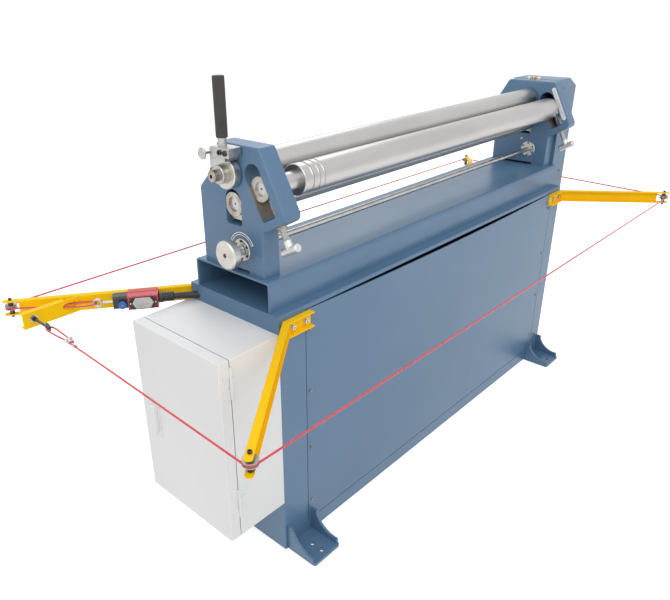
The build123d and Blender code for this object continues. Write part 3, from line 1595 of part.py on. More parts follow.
def main():
    save("stand_frame", stand_frame())
    panel = front_panel()
    save("front_panel", panel)
    save("rear_panel", mirror(panel, about=Plane.XZ))
    save("anchor_feet", *anchor_feet())
    save("panel_screws", *panel_and_cover_screws())
    save("top_beam", top_beam())
    save("near_housing", near_housing())
    save("far_housing", far_housing())
    save("gear_cover", gear_cover())
    save("scale_plates", *scale_plates())
    save("oil_cups", *oil_cups())
    save("shaft_flanges", *shaft_flanges())
    save("flange_screws", *flange_screws())
    save("bushes_and_nuts", *bushes_and_nuts())
    save("top_roll", top_roll())
    save("lower_roll", lower_roll())
    save("bend_roll", bend_roll())
    save("lower_blocks", *lower_blocks())
    save("bend_blocks", *bend_blocks())
    save("bend_screw_near", bend_screw("near"))
    save("bend_screw_far", bend_screw("far"))
    save("cross_shaft", cross_shaft())
    save("lift_cams", *lift_cams())
    save("adjust_knob", adjust_knob())
    save("release_disc", release_disc())
    save("lever_clamp", lever_clamp())
    save("lever_rod", lever_rod())
    save("lever_grip", lever_grip())
    save("index_plunger", index_plunger())
    save("top_gear", gear(gear_start, gear_end, top_axis_height, 0))
    save("lower_gear", gear(gear_start, gear_end, lower_axis_height, math.pi / gear_teeth))
    save("top_sprocket", sprocket(top_sprocket_teeth, top_axis_height, top_journal_radius))
    save("drive_sprocket", drive_sprocket())
    save("drive_chain", drive_chain())
    save("gearbox", gearbox())
    save("drive_motor", drive_motor())
    save("control_box", control_box())
    save("control_gear", control_gear())
    save("door_hinges", *door_hinges())
    save("box_door", box_door())
    save("door_handle", door_handle())
    for name, arm in corner_arms.items():
        save(f"arm_{name}", corner_arm(arm))
        save(f"pulley_{name}", pulley(arm))
    save("switch_arm", switch_arm())
    save("arm_bolts", *bolts())
    save("rope_eyebolt", rope_eyebolt())
    save("switch_body", switch_body())
    save("switch_cover", switch_cover_shell())
    save("pull_eye", pull_eye())
    save("reset_knob", reset_knob())
    save("conduit", conduit())
    save("trip_rope", trip_rope())
    save("rope_clamps", *rope_clamps())


main()
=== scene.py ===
import bpy
import bmesh
import math
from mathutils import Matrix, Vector


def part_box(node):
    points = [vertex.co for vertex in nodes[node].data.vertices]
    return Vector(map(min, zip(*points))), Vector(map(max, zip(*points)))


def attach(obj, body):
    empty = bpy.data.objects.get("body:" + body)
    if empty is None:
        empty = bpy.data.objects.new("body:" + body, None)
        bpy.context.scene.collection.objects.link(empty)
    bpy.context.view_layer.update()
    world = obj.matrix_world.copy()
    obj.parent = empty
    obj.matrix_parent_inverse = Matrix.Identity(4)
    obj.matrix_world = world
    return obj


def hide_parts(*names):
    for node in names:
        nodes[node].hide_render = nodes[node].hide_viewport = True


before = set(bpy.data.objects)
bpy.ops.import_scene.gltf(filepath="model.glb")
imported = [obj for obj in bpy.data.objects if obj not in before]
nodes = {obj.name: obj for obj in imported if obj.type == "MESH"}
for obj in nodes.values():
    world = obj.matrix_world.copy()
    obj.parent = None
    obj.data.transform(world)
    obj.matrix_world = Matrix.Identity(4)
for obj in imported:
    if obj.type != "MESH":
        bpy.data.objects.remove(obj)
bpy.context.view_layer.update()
print("frame loaded,", len(nodes), "nodes")


# places that several pieces share

def middleOf(node):
    low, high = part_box(node)
    return tuple((a + b) / 2 for a, b in zip(low, high))


topAxis, lowerAxis, bendAxis, settingAxis = (  # Y and Z that each one turns about
    middleOf(node)[1:] for node in ("top_roll", "lower_roll", "bend_roll", "cross_shaft"))
noseLean = 28.5  # degrees, slots and screws of the bending roll
limb = {  # near rear arm, which carries the switch: its own X runs along it, its Y out from it
    "bend": (-0.835, 0.182, 0.760),
    "heading": 144.377,  # degrees
    "headStart": 0.1942,  # along X, where the switch's black head begins
    "knobStart": 0.0484,  # along Y, where the reset knob's blue begins
}


def inRadians(turn):
    return [math.radians(angle) for angle in turn]


# node helpers for the light and the finishes

def fed(tree, socket, end):
    # a socket takes a fixed value or another node's output
    if isinstance(end, (int, float, tuple)):
        socket.default_value = end
    else:
        tree.links.new(end, socket)


def computed(tree, operation, *ends):
    step = tree.nodes.new("ShaderNodeMath")
    step.operation = operation
    for socket, end in zip(step.inputs, ends):
        fed(tree, socket, end)
    return step.outputs[0]


noiseSpan = (0.3, 0.7)  # most of a noise's values lie here


def between(tree, value, low, high, span=noiseSpan):
    spread = tree.nodes.new("ShaderNodeMapRange")
    for socket, level in zip(("From Min", "From Max", "To Min", "To Max"), (*span, low, high)):
        spread.inputs[socket].default_value = level
    tree.links.new(value, spread.inputs["Value"])
    return spread.outputs["Result"]


def placed(tree, place=(0, 0, 0), turn=(0, 0, 0), stretch=(1, 1, 1)):
    # object coordinates, taken from a place and turn of the pattern's own, then stretched
    coords = tree.nodes.new("ShaderNodeTexCoord")
    seat = tree.nodes.new("ShaderNodeMapping")
    seat.vector_type = "TEXTURE"
    seat.inputs["Location"].default_value = place
    seat.inputs["Rotation"].default_value = inRadians(turn)
    pull = tree.nodes.new("ShaderNodeMapping")
    pull.inputs["Scale"].default_value = stretch
    tree.links.new(coords.outputs["Object"], seat.inputs["Vector"])
    tree.links.new(seat.outputs["Vector"], pull.inputs["Vector"])
    return pull.outputs["Vector"]


def parted(tree, vector):
    split = tree.nodes.new("ShaderNodeSeparateXYZ")
    tree.links.new(vector, split.inputs[0])
    return split.outputs


noiseRoughness = 0.55  # where a grain gives none


def speckle(tree, grain, vector=None):
    # a grain is a noise's scale, its detail and, where it matters, its roughness
    noise = tree.nodes.new("ShaderNodeTexNoise")
    for socket, level in zip(("Scale", "Detail", "Roughness"), (*grain, noiseRoughness)):
        noise.inputs[socket].default_value = level
    tree.links.new(vector or placed(tree), noise.inputs["Vector"])
    return noise.outputs["Fac"]


def ramped(tree, value, tone, span=noiseSpan):
    ramp = tree.nodes.new("ShaderNodeValToRGB")
    for stop, position, colour in zip(ramp.color_ramp.elements, span, tone):
        stop.position = position
        stop.color = (*colour, 1)
    tree.links.new(value, ramp.inputs["Fac"])
    return ramp.outputs["Color"]


def blended(tree, share, first, second):
    # a mix node's colours go in at sockets 6 and 7 and come out at 2
    mix = tree.nodes.new("ShaderNodeMix")
    mix.data_type = "RGBA"
    tree.links.new(share, mix.inputs[0])
    fed(tree, mix.inputs[6], first)
    fed(tree, mix.inputs[7], second)
    return mix.outputs[2]


def startLook(name, sockets):
    look = bpy.data.materials.new(name)
    look.use_nodes = True
    shader = look.node_tree.nodes["Principled BSDF"]
    for socket, value in sockets.items():
        shader.inputs[socket].default_value = value
    return look, look.node_tree, shader


def coloured(tree, shader, colour):
    tree.links.new(colour, shader.inputs["Base Color"])


def glossed(tree, shader, grain, gloss):
    tree.links.new(between(tree, speckle(tree, grain), *gloss), shader.inputs["Roughness"])


def raised(tree, shader, value, relief, under=None):
    # a relief is a bump's strength and its depth in metres
    bump = tree.nodes.new("ShaderNodeBump")
    for socket, level in zip(("Strength", "Distance"), relief):
        bump.inputs[socket].default_value = level
    tree.links.new(value, bump.inputs["Height"])
    if under is not None:
        tree.links.new(under, bump.inputs["Normal"])
    tree.links.new(bump.outputs["Normal"], shader.inputs["Normal"])
    return bump.outputs["Normal"]


# camera, floor and light

photoView = {
    "place": (-1.8920, -1.2696, 1.5474),
    "turn": (64.795, 0.869, -46.573),  # degrees
    "sensor": 36,
    "lens": 35.065,
    "shift": (0.0491, 0.0059),
    "clip": (0.05, 200),
}


def addCamera():
    bpy.ops.object.select_all(action="DESELECT")
    bpy.ops.object.camera_add(location=photoView["place"], rotation=inRadians(photoView["turn"]))
    camera = bpy.context.object
    camera.name = "photoCamera"
    camera.data.sensor_width = photoView["sensor"]
    camera.data.lens = photoView["lens"]
    camera.data.shift_x, camera.data.shift_y = photoView["shift"]
    camera.data.clip_start, camera.data.clip_end = photoView["clip"]
    bpy.context.scene.camera = camera
    bpy.context.scene.view_settings.view_transform = "Standard"


studio = {
    "white": (1, 1, 1, 1),
    "worldLevel": 0.54,  # what diffuse surfaces get from the pale surround
    "lamps": [
        # place, aimed at, size, watts
        ((-1.6, -3.2, 4.6), (0.0, 0.0, 0.8), (7.0, 4.5), 150),
        ((-4.6, 0.6, 3.2), (-0.8, 0.0, 0.8), (3.5, 3.5), 28),
        ((1.5, 3.0, 4.4), (0.2, 0.0, 0.9), (5.0, 3.5), 80),
    ],
    "floorSize": 80,
    "floorTone": (0.90, 0.90, 0.895, 1),
    "floorRoughness": 0.8,
    "floorShine": 0.1,
    "floorGlow": 0.55,
}


def raysOf(tree, *kinds):
    # 1 for a ray of any of these kinds
    path = tree.nodes.new("ShaderNodeLightPath")
    first, *rest = (path.outputs[kind] for kind in kinds)
    for other in rest:
        first = computed(tree, "MAXIMUM", first, other)
    return first


def addWorld():
    world = bpy.data.worlds.new("paleRoom")
    bpy.context.scene.world = world
    world.use_nodes = True
    tree = world.node_tree
    back = tree.nodes["Background"]
    back.inputs["Color"].default_value = studio["white"]
    shown = raysOf(tree, "Is Camera Ray", "Is Glossy Ray", "Is Transmission Ray")
    tree.links.new(between(tree, shown, studio["worldLevel"], 1, (0, 1)), back.inputs["Strength"])


def addLamps():
    for index, (place, target, size, watts) in enumerate(studio["lamps"]):
        bpy.ops.object.select_all(action="DESELECT")
        bpy.ops.object.light_add(type="AREA", location=place)
        lamp = bpy.context.object
        lamp.name = "softBox%d" % index
        lamp.data.shape = "RECTANGLE"
        lamp.data.size, lamp.data.size_y = size
        lamp.data.energy = watts
        lamp.rotation_euler = (Vector(target) - Vector(place)).to_track_quat("-Z", "Y").to_euler()


def addFloor():
    bpy.ops.object.select_all(action="DESELECT")
    bpy.ops.mesh.primitive_plane_add(size=studio["floorSize"])
    floor = bpy.context.object
    floor.name = "paleFloor"
    look, tree, shader = startLook("paleFloor", {
        "Base Color": studio["floorTone"],
        "Roughness": studio["floorRoughness"],
        "Specular IOR Level": studio["floorShine"],
        "Emission Color": studio["white"],
    })
    glow = computed(tree, "MULTIPLY", raysOf(tree, "Is Camera Ray", "Is Glossy Ray"), studio["floorGlow"])
    tree.links.new(glow, shader.inputs["Emission Strength"])
    floor.data.materials.append(look)


addCamera()
addWorld()
addLamps()
addFloor()
print("camera, lamps and floor in place")


# finishes: a tone is a dark and a light colour, a gloss the least and the most roughness

tones = {
    "blue": ((0.086, 0.174, 0.290), (0.100, 0.194, 0.318)),
    "yellow": ((0.94, 0.545, 0.001), (0.98, 0.600, 0.0015)),
    "grey": ((0.755, 0.758, 0.765), (0.800, 0.802, 0.806)),
    "rust": ((0.115, 0.070, 0.042), (0.300, 0.262, 0.225)),
    "ground": ((0.49, 0.482, 0.472), (0.55, 0.542, 0.532)),
    "disc": ((0.48, 0.475, 0.46), (0.62, 0.615, 0.60)),
    "knob": ((0.52, 0.515, 0.50), (0.66, 0.655, 0.64)),
    "bendBlock": ((0.30, 0.265, 0.225), (0.56, 0.54, 0.51)),
    "lowerBlock": ((0.30, 0.265, 0.225), (0.58, 0.56, 0.53)),
    "shaft": ((0.46, 0.455, 0.44), (0.60, 0.595, 0.58)),
    "badge": ((0.52, 0.52, 0.51), (0.68, 0.68, 0.67)),
    "zinc": ((0.50, 0.50, 0.485), (0.68, 0.68, 0.665)),
    "brightZinc": ((0.56, 0.56, 0.545), (0.70, 0.70, 0.685)),
    "screw": ((0.54, 0.54, 0.53), (0.69, 0.69, 0.675)),
    "clamp": ((0.40, 0.40, 0.388), (0.54, 0.54, 0.526)),
    # dark steel: real black oxide on the clamp and corner screws, and painted shade on the flange screws,
    # whose plain heads stand for hex sockets in shade
    "oiled": ((0.035, 0.034, 0.033), (0.09, 0.088, 0.085)),
    "darkBolt": ((0.05, 0.048, 0.046), (0.12, 0.116, 0.11)),
    "darkEye": ((0.07, 0.067, 0.063), (0.16, 0.154, 0.146)),
    "chain": ((0.05, 0.046, 0.042), (0.13, 0.122, 0.112)),
    "gear": ((0.30, 0.295, 0.285), (0.46, 0.455, 0.44)),
    "brass": ((0.48, 0.36, 0.19), (0.60, 0.47, 0.27)),
    "cupBrass": ((0.48, 0.34, 0.16), (0.60, 0.45, 0.24)),
    "pulley": ((0.30, 0.30, 0.295), (0.44, 0.44, 0.43)),
    "bronze": ((0.22, 0.205, 0.19), (0.36, 0.335, 0.31)),
    "drive": ((0.085, 0.09, 0.095), (0.12, 0.125, 0.13)),
    "white": ((0.80, 0.80, 0.79), (0.86, 0.86, 0.85)),
    "ink": ((0.012, 0.012, 0.013), (0.022, 0.022, 0.024)),
    "black": ((0.018, 0.018, 0.020), (0.032, 0.032, 0.034)),
    "rubber": ((0.030, 0.029, 0.027), (0.042, 0.041, 0.038)),
    "red": ((0.52, 0.045, 0.050), (0.60, 0.060, 0.066)),
    "resetBlue": ((0.008, 0.10, 0.42), (0.012, 0.14, 0.52)),
    "rope": ((0.60, 0.022, 0.040), (0.70, 0.034, 0.055)),
    "orange": ((0.80, 0.30, 0.08), (0.88, 0.36, 0.11)),
    "device": ((0.30, 0.30, 0.29), (0.42, 0.42, 0.41)),
}
sprayed = {"drift": (2.6, 4), "sheen": (9, 5)}


def sheetPaint(name, tone, peel, relief, gloss, shine):
    # sprayed paint: slow tone drift, orange peel, gloss that wanders a little
    look, tree, shader = startLook(name, {"Specular IOR Level": shine})
    coloured(tree, shader, ramped(tree, speckle(tree, sprayed["drift"]), tones[tone]))
    glossed(tree, shader, sprayed["sheen"], gloss)
    raised(tree, shader, speckle(tree, peel), relief)
    return look


casting = {
    "shine": 0.5,
    "drift": (3.2, 4),
    "sheen": (12, 5),
    "gloss": (0.30, 0.44),
    "rust": (60, 4),
    "slotHalf": 0.0277,  # half the bare slot's width
    "slotDrop": 0.024,  # its middle, below the bending roll at rest
    "slotReach": 0.046,  # half its length
    "skin": (55, 4),
    "skinRelief": (0.10, 0.0012),
    "spray": (420, 2),
    "sprayRelief": (0.10, 0.0004),
}


def castPaint(name):
    # painted casting with bare machined walls in the inclined slot
    look, tree, shader = startLook(name, {"Specular IOR Level": casting["shine"]})
    painted = ramped(tree, speckle(tree, casting["drift"]), tones["blue"])
    slot = parted(tree, placed(tree, place=(0, *bendAxis), turn=(-noseLean, 0, 0)))
    across = computed(tree, "LESS_THAN", computed(tree, "ABSOLUTE", slot["Y"]), casting["slotHalf"])
    fromMiddle = computed(tree, "ABSOLUTE", computed(tree, "ADD", slot["Z"], casting["slotDrop"]))
    along = computed(tree, "LESS_THAN", fromMiddle, casting["slotReach"])
    rusty = ramped(tree, speckle(tree, casting["rust"]), tones["rust"], (0, 1))
    coloured(tree, shader, blended(tree, computed(tree, "MULTIPLY", across, along), painted, rusty))
    glossed(tree, shader, casting["sheen"], casting["gloss"])
    skin = raised(tree, shader, speckle(tree, casting["skin"]), casting["skinRelief"])
    raised(tree, shader, speckle(tree, casting["spray"]), casting["sprayRelief"], skin)
    return look


rolls = {
    "bloom": (3.5, 5),
    "bloomStretch": (1, 3, 3),
    "gloss": (0.31, 0.37),
    "tail": (-0.883, -0.877),  # X over which the top roll's shaft end turns brown
    "stain": (90, 4),
    "stainShare": (0.25, 1.0),
    "brown": (0.30, 0.235, 0.18, 1),
}


def groundSteel(name):
    # cylindrically ground rolls: oil bloom in tone and gloss, browned shaft end
    look, tree, shader = startLook(name, {"Metallic": 1.0})
    bloom = speckle(tree, rolls["bloom"], placed(tree, stretch=rolls["bloomStretch"]))
    bright = ramped(tree, bloom, tones["ground"])
    tail = between(tree, parted(tree, placed(tree))["X"], 1, 0, rolls["tail"])
    stain = between(tree, speckle(tree, rolls["stain"]), *rolls["stainShare"])
    coloured(tree, shader, blended(tree, computed(tree, "MULTIPLY", tail, stain), bright, rolls["brown"]))
    tree.links.new(between(tree, bloom, *rolls["gloss"]), shader.inputs["Roughness"])
    return look


lathe = {"cloud": (26, 5), "sheen": (40, 4), "wander": 1.5, "wanderDetail": 2, "relief": (0.06, 0.0002)}


def turnedSteel(name, tone, gloss, axis, rings):
    # lathe marks as rings round an axis along X
    look, tree, shader = startLook(name, {"Metallic": 1.0})
    coloured(tree, shader, ramped(tree, speckle(tree, lathe["cloud"]), tones[tone]))
    wave = tree.nodes.new("ShaderNodeTexWave")
    wave.wave_type = "RINGS"
    wave.rings_direction = "X"
    wave.inputs["Scale"].default_value = rings
    wave.inputs["Distortion"].default_value = lathe["wander"]
    wave.inputs["Detail"].default_value = lathe["wanderDetail"]
    tree.links.new(placed(tree, place=(0, *axis)), wave.inputs["Vector"])
    glossed(tree, shader, lathe["sheen"], gloss)
    raised(tree, shader, wave.outputs["Fac"], lathe["relief"])
    return look


plating = {"cloud": (75, 6, 0.65), "sheen": (130, 3), "crystal": (700, 2), "relief": (0.08, 0.0002)}


def platedSteel(name, tone, gloss):
    # zinc plate: cloudy, slightly crystalline
    look, tree, shader = startLook(name, {"Metallic": 1.0})
    coloured(tree, shader, ramped(tree, speckle(tree, plating["cloud"]), tones[tone]))
    glossed(tree, shader, plating["sheen"], gloss)
    raised(tree, shader, speckle(tree, plating["crystal"]), plating["relief"])
    return look


def spottedSteel(name, axis, middle, reach, plain, spot, gloss):
    # plated steel, another plating where one coordinate is within reach of a middle
    look, tree, shader = startLook(name, {"Metallic": 1.0})
    away = computed(tree, "SUBTRACT", parted(tree, placed(tree))[axis], middle)
    inside = computed(tree, "LESS_THAN", computed(tree, "ABSOLUTE", away), reach)
    cloud = speckle(tree, plating["cloud"])
    first, second = (ramped(tree, cloud, tones[tone]) for tone in (plain, spot))
    coloured(tree, shader, blended(tree, inside, first, second))
    glossed(tree, shader, plating["sheen"], gloss)
    return look


thread = {
    "cloud": (70, 5),
    "sheen": (90, 3),
    "gloss": (0.38, 0.52),
    "bands": 79,  # 4 mm pitch
    "hub": (-0.1385, -0.1375),  # along the screw, where the thread ends at the hub
    "relief": (0.9, 0.0016),
}


def threadedSteel(name, node):
    # plated bending screw: thread marks only on the length between nut and hub
    look, tree, shader = startLook(name, {"Metallic": 1.0})
    seat = placed(tree, place=(middleOf(node)[0], *bendAxis), turn=(-noseLean, 0, 0))
    coloured(tree, shader, ramped(tree, speckle(tree, thread["cloud"]), tones["screw"]))
    wave = tree.nodes.new("ShaderNodeTexWave")
    wave.bands_direction = "Z"
    wave.wave_profile = "TRI"
    wave.inputs["Scale"].default_value = thread["bands"]
    tree.links.new(seat, wave.inputs["Vector"])
    onThread = between(tree, parted(tree, seat)["Z"], 0, 1, thread["hub"])
    glossed(tree, shader, thread["sheen"], thread["gloss"])
    raised(tree, shader, computed(tree, "MULTIPLY", wave.outputs["Fac"], onThread), thread["relief"])
    return look


moulded = {"cloud": (35, 4), "sheen": (60, 3)}


def plainPlastic(name, tone, gloss, grain, relief, sockets=None):
    look, tree, shader = startLook(name, sockets or {})
    coloured(tree, shader, ramped(tree, speckle(tree, moulded["cloud"]), tones[tone]))
    glossed(tree, shader, moulded["sheen"], gloss)
    raised(tree, shader, speckle(tree, grain), relief)
    return look


def splitPlastic(name, axis, border, before, after, gloss):
    # moulding in two colours, which meet at a border along or out from the near rear arm
    look, tree, shader = startLook(name, {})
    way = parted(tree, placed(tree, place=limb["bend"], turn=(0, 0, limb["heading"])))[axis]
    isBefore = computed(tree, "LESS_THAN", way, border)
    cloud = speckle(tree, moulded["cloud"])
    first, second = (ramped(tree, cloud, tones[tone]) for tone in (before, after))
    coloured(tree, shader, blended(tree, isBefore, second, first))
    glossed(tree, shader, moulded["sheen"], gloss)
    return look, tree, shader, isBefore


switchCase = {"gloss": (0.34, 0.48), "grain": (800, 2), "relief": (0.15, 0.0003)}


def switchPlastic(name):
    # red case up to the head, which is black
    look, tree, shader, _ = splitPlastic(name, "X", limb["headStart"], "red", "black", switchCase["gloss"])
    raised(tree, shader, speckle(tree, switchCase["grain"]), switchCase["relief"])
    return look


resetGloss = (0.22, 0.34)


def resetPlastic(name):
    # blue knob on a brass stem
    look, tree, shader, onStem = splitPlastic(name, "Y", limb["knobStart"], "brass", "resetBlue", resetGloss)
    tree.links.new(onStem, shader.inputs["Metallic"])
    return look


finishes = {
    sheetPaint: {  # tone, peel, relief, gloss, shine
        "standBlue": ("blue", (260, 2), (0.03, 0.0005), (0.30, 0.35), 0.5),
        "armYellow": ("yellow", (320, 2), (0.06, 0.0005), (0.38, 0.46), 0.12),
        "boxGrey": ("grey", (650, 2), (0.22, 0.0005), (0.44, 0.52), 0.35),
    },
    castPaint: {"castBlue": ()},
    groundSteel: {"rollSteel": ()},
    turnedSteel: {  # tone, gloss, axis, scale of the rings
        "lathedDisc": ("disc", (0.26, 0.40), topAxis, 900),
        "lathedKnob": ("knob", (0.32, 0.48), settingAxis, 600),
        "lathedBlock": ("bendBlock", (0.32, 0.50), bendAxis, 900),
        "lathedLower": ("lowerBlock", (0.32, 0.50), lowerAxis, 900),
        "lathedShaft": ("shaft", (0.24, 0.38), settingAxis, 900),
        "brushedPlate": ("badge", (0.30, 0.46), (0, 0), 300),
    },
    platedSteel: {  # tone, gloss
        "zinc": ("zinc", (0.28, 0.44)),
        "clampSteel": ("clamp", (0.34, 0.48)),
        "darkSteel": ("oiled", (0.30, 0.45)),
        "chainSteel": ("chain", (0.30, 0.5)),
        "gearSteel": ("gear", (0.30, 0.45)),
        "brass": ("brass", (0.28, 0.44)),
        "pulleyGrey": ("pulley", (0.38, 0.52)),
        "screwBronze": ("bronze", (0.30, 0.46)),
    },
    spottedSteel: {  # axis, middle, reach, tone outside, tone inside, gloss
        "cupSteel": ("Y", topAxis[0], 0.0105, "brightZinc", "cupBrass", (0.28, 0.42)),
        "boltSteel": ("X", 0, 0.95, "darkBolt", "zinc", (0.28, 0.44)),
        "eyeSteel": ("Y", 0.3700, 0.0014, "darkEye", "brightZinc", (0.28, 0.44)),
    },
    threadedSteel: {"screwNear": ("bend_screw_near",), "screwFar": ("bend_screw_far",)},
    plainPlastic: {  # tone, gloss, grain, relief, other sockets
        "driveGrey": ("drive", (0.42, 0.55), (90, 2), (0.25, 0.001)),
        "scaleWhite": ("white", (0.35, 0.45), (500, 2), (0.03, 0.0002)),
        "inkBlack": ("ink", (0.4, 0.5), (500, 2), (0.03, 0.0002)),
        "mouldedBlack": ("black", (0.38, 0.52), (900, 2), (0.20, 0.0004)),
        "gripRubber": ("rubber", (0.55, 0.70), (1100, 2), (0.25, 0.0004)),
        "switchRed": ("red", (0.30, 0.42), (700, 2), (0.12, 0.0003)),
        "ropeRed": ("rope", (0.22, 0.36), (420, 2), (0.25, 0.0008),
                    {"Coat Weight": 0.5, "Coat Roughness": 0.1}),
        "markOrange": ("orange", (0.35, 0.45), (600, 2), (0.05, 0.0002)),
        "deviceGrey": ("device", (0.40, 0.55), (600, 2), (0.1, 0.0003)),
    },
    switchPlastic: {"switchCase": ()},
    resetPlastic: {"resetBlue": ()},
}
looks = {}
for makeLook, rows in finishes.items():
    for name, values in rows.items():
        looks[name] = makeLook(name, *values)
nodeLooks = {
    "standBlue": ["stand_frame", "front_panel", "rear_panel", "top_beam", "gear_cover", "anchor_feet"],
    "castBlue": ["near_housing", "far_housing"],
    "armYellow": ["arm_front_near", "arm_front_far", "arm_rear_far", "arm_rear_near", "switch_arm"],
    "boxGrey": ["control_box", "box_door", "door_handle", "door_hinges"],
    "rollSteel": ["top_roll", "lower_roll", "bend_roll"],
    "lathedDisc": ["release_disc"],
    "lathedKnob": ["adjust_knob", "shaft_flanges"],
    "lathedBlock": ["bend_blocks"],
    "lathedLower": ["lower_blocks"],
    "lathedShaft": ["cross_shaft", "lift_cams"],
    "clampSteel": ["lever_clamp", "lever_rod", "index_plunger", "pull_eye", "rope_clamps"],
    "pulleyGrey": ["pulley_front_near", "pulley_front_far", "pulley_rear_far", "pulley_rear_near"],
    "screwBronze": ["panel_screws"],
    "boltSteel": ["arm_bolts"],
    "eyeSteel": ["rope_eyebolt"],
    # the flange screws' dark colour is painted shade that stands in for their recessed hex sockets
    "darkSteel": ["flange_screws"],
    "chainSteel": ["drive_chain", "top_sprocket", "drive_sprocket"],
    "gearSteel": ["top_gear", "lower_gear"],
    "brass": ["bushes_and_nuts"],
    "cupSteel": ["oil_cups"],
    "screwNear": ["bend_screw_near"],
    "screwFar": ["bend_screw_far"],
    "driveGrey": ["gearbox", "drive_motor"],
    "scaleWhite": ["scale_plates"],
    "mouldedBlack": ["conduit"],
    "switchCase": ["switch_body"],
    "gripRubber": ["lever_grip"],
    "switchRed": ["switch_cover"],
    "resetBlue": ["reset_knob"],
    "ropeRed": ["trip_rope"],
    "deviceGrey": ["control_gear"],
}
for lookName, names in nodeLooks.items():
    for name in names:
        if not nodes[name].material_slots:
            nodes[name].data.materials.append(looks[lookName])
        for slot in nodes[name].material_slots:
            slot.material = looks[lookName]
print("finishes given to", sum(len(n) for n in nodeLooks.values()), "nodes")


# hand tools for the added pieces

def alone(*pieces):
    bpy.ops.object.select_all(action="DESELECT")
    for piece in pieces:
        piece.select_set(True)
    bpy.context.view_layer.objects.active = pieces[0]


def discard(*pieces):
    alone(*pieces)
    bpy.ops.object.delete()


def joined(pieces):
    alone(*pieces)
    bpy.ops.object.join()
    return bpy.context.object


def editing(on):
    bpy.ops.object.mode_set(mode="EDIT" if on else "OBJECT")


def pickFaces(wanted):
    bpy.ops.mesh.select_mode(type="FACE")
    bpy.ops.mesh.select_all(action="DESELECT")
    mesh = bmesh.from_edit_mesh(bpy.context.object.data)
    for face in mesh.faces:
        face.select_set(bool(wanted(face.calc_center_median(), face.normal)))
    mesh.select_flush_mode()
    bmesh.update_edit_mesh(bpy.context.object.data)


def pickEdges(wanted):
    bpy.ops.mesh.select_mode(type="EDGE")
    bpy.ops.mesh.select_all(action="DESELECT")
    mesh = bmesh.from_edit_mesh(bpy.context.object.data)
    for edge in mesh.edges:
        first, second = (v.co for v in edge.verts)
        edge.select_set(bool(wanted((first + second) / 2, (second - first).normalized())))
    bmesh.update_edit_mesh(bpy.context.object.data)


aligned = 0.9  # a direction counts as along an axis when its share of it is more


def applied(kind, **settings):
    bpy.ops.object.modifier_add(type=kind)
    step = bpy.context.object.modifiers[-1]
    for name, value in settings.items():
        setattr(step, name, value)
    bpy.ops.object.modifier_apply(modifier=step.name)


def softened(width, angle=40):
    # edges sharper than the angle get a small round
    applied("BEVEL", width=width, segments=2, limit_method="ANGLE", angle_limit=math.radians(angle))


def startBox(size, place=(0, 0, 0)):
    bpy.ops.object.select_all(action="DESELECT")
    bpy.ops.mesh.primitive_cube_add(size=1, location=place, scale=size)
    bpy.ops.object.transform_apply(location=True, scale=True)
    return bpy.context.object


def lathed(sides, steps):
    # a filled circle pulled up ring by ring, each step a height and a radius
    (height, radius), *rest = steps
    bpy.ops.object.select_all(action="DESELECT")
    bpy.ops.mesh.primitive_circle_add(vertices=sides, radius=radius, fill_type="NGON",
                                      location=(0, 0, height))
    bpy.ops.object.transform_apply(location=True)
    editing(True)
    bpy.ops.mesh.select_all(action="SELECT")
    for nextHeight, nextRadius in rest:
        bpy.ops.mesh.extrude_region_move(TRANSFORM_OT_translate={"value": (0, 0, nextHeight - height)})
        grow = nextRadius / radius
        bpy.ops.transform.resize(value=(grow, grow, 1), center_override=(0, 0, nextHeight))
        height, radius = nextHeight, nextRadius
    bpy.ops.mesh.select_all(action="SELECT")
    bpy.ops.mesh.normals_make_consistent(inside=False)
    editing(False)
    return bpy.context.object


def capped(sides, radius, shoulder, height, crown):
    # straight up to a shoulder, then drawn in to a crown, a share of the radius
    return lathed(sides, [(0, radius), (shoulder, radius), (height, radius * crown)])


nutCrown = 0.93  # end of a nut's chamfer, a share of its radius


def hexNut(radius, height, chamfer):
    end = radius * nutCrown
    return lathed(6, [(0, end), (chamfer, radius), (height - chamfer, radius), (height, end)])


def seated(piece, place, turn=(0, 0, 0)):
    # put a piece made at the origin in its place, and keep the place in the mesh
    alone(piece)
    piece.location = place
    piece.rotation_euler = inRadians(turn)
    bpy.ops.object.transform_apply(location=True, rotation=True)
    return piece


def copied(piece, move=(0, 0, 0)):
    alone(piece)
    bpy.ops.object.duplicate(linked=False)
    bpy.ops.transform.translate(value=move)
    bpy.ops.object.transform_apply(location=True)
    return bpy.context.object


smoothAngle = 32  # degrees, sharper edges stay crisp


def settle(piece, name, look, body, slot, *replaced):
    alone(piece)
    piece.name = name
    piece.data.name = name
    bpy.ops.object.shade_smooth_by_angle(angle=math.radians(smoothAngle))
    piece.data.materials.clear()
    piece.data.materials.append(looks[look])
    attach(piece, body)
    if replaced:
        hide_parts(*replaced)
    return piece


# trip rope, the route of the source in metres, with loops opened a little as the rope lies

rope = {
    "height": 0.763,
    "diameter": 0.005,
    "length": 7.18,
    "route": [
        # eyebolt loop
        (-1.2409, 0.1610), (-1.2355, 0.2268), (-1.2333, 0.2903), (-1.2553, 0.2903), (-1.2533, 0.2268),
        (-1.2477, 0.1770),
        (-1.2698, -0.4973), (-1.2710, -0.5325), (-1.2358, -0.5326),  # front near pulley
        (1.0725, -0.5394), (1.1034, -0.5395), (1.1059, -0.5087),  # front far pulley
        (1.1827, 0.4405), (1.1857, 0.4773), (1.1488, 0.4778),  # rear far pulley
        (-1.2390, 0.5073), (-1.2608, 0.5076), (-1.2682, 0.4891), (-1.2520, 0.4742),  # rear near pulley
        (-1.1634, 0.3930),
        # switch loop, whose tip is lifted over the pull eye
        (-1.1300, 0.3480), (-1.0874, 0.3135, 0.003), (-1.0698, 0.3338, 0.003), (-1.1158, 0.3765),
        (-1.1710, 0.4087),
    ],
    "sides": 4,  # bevel resolution
    "steps": 12,  # along each stretch of the spline
}
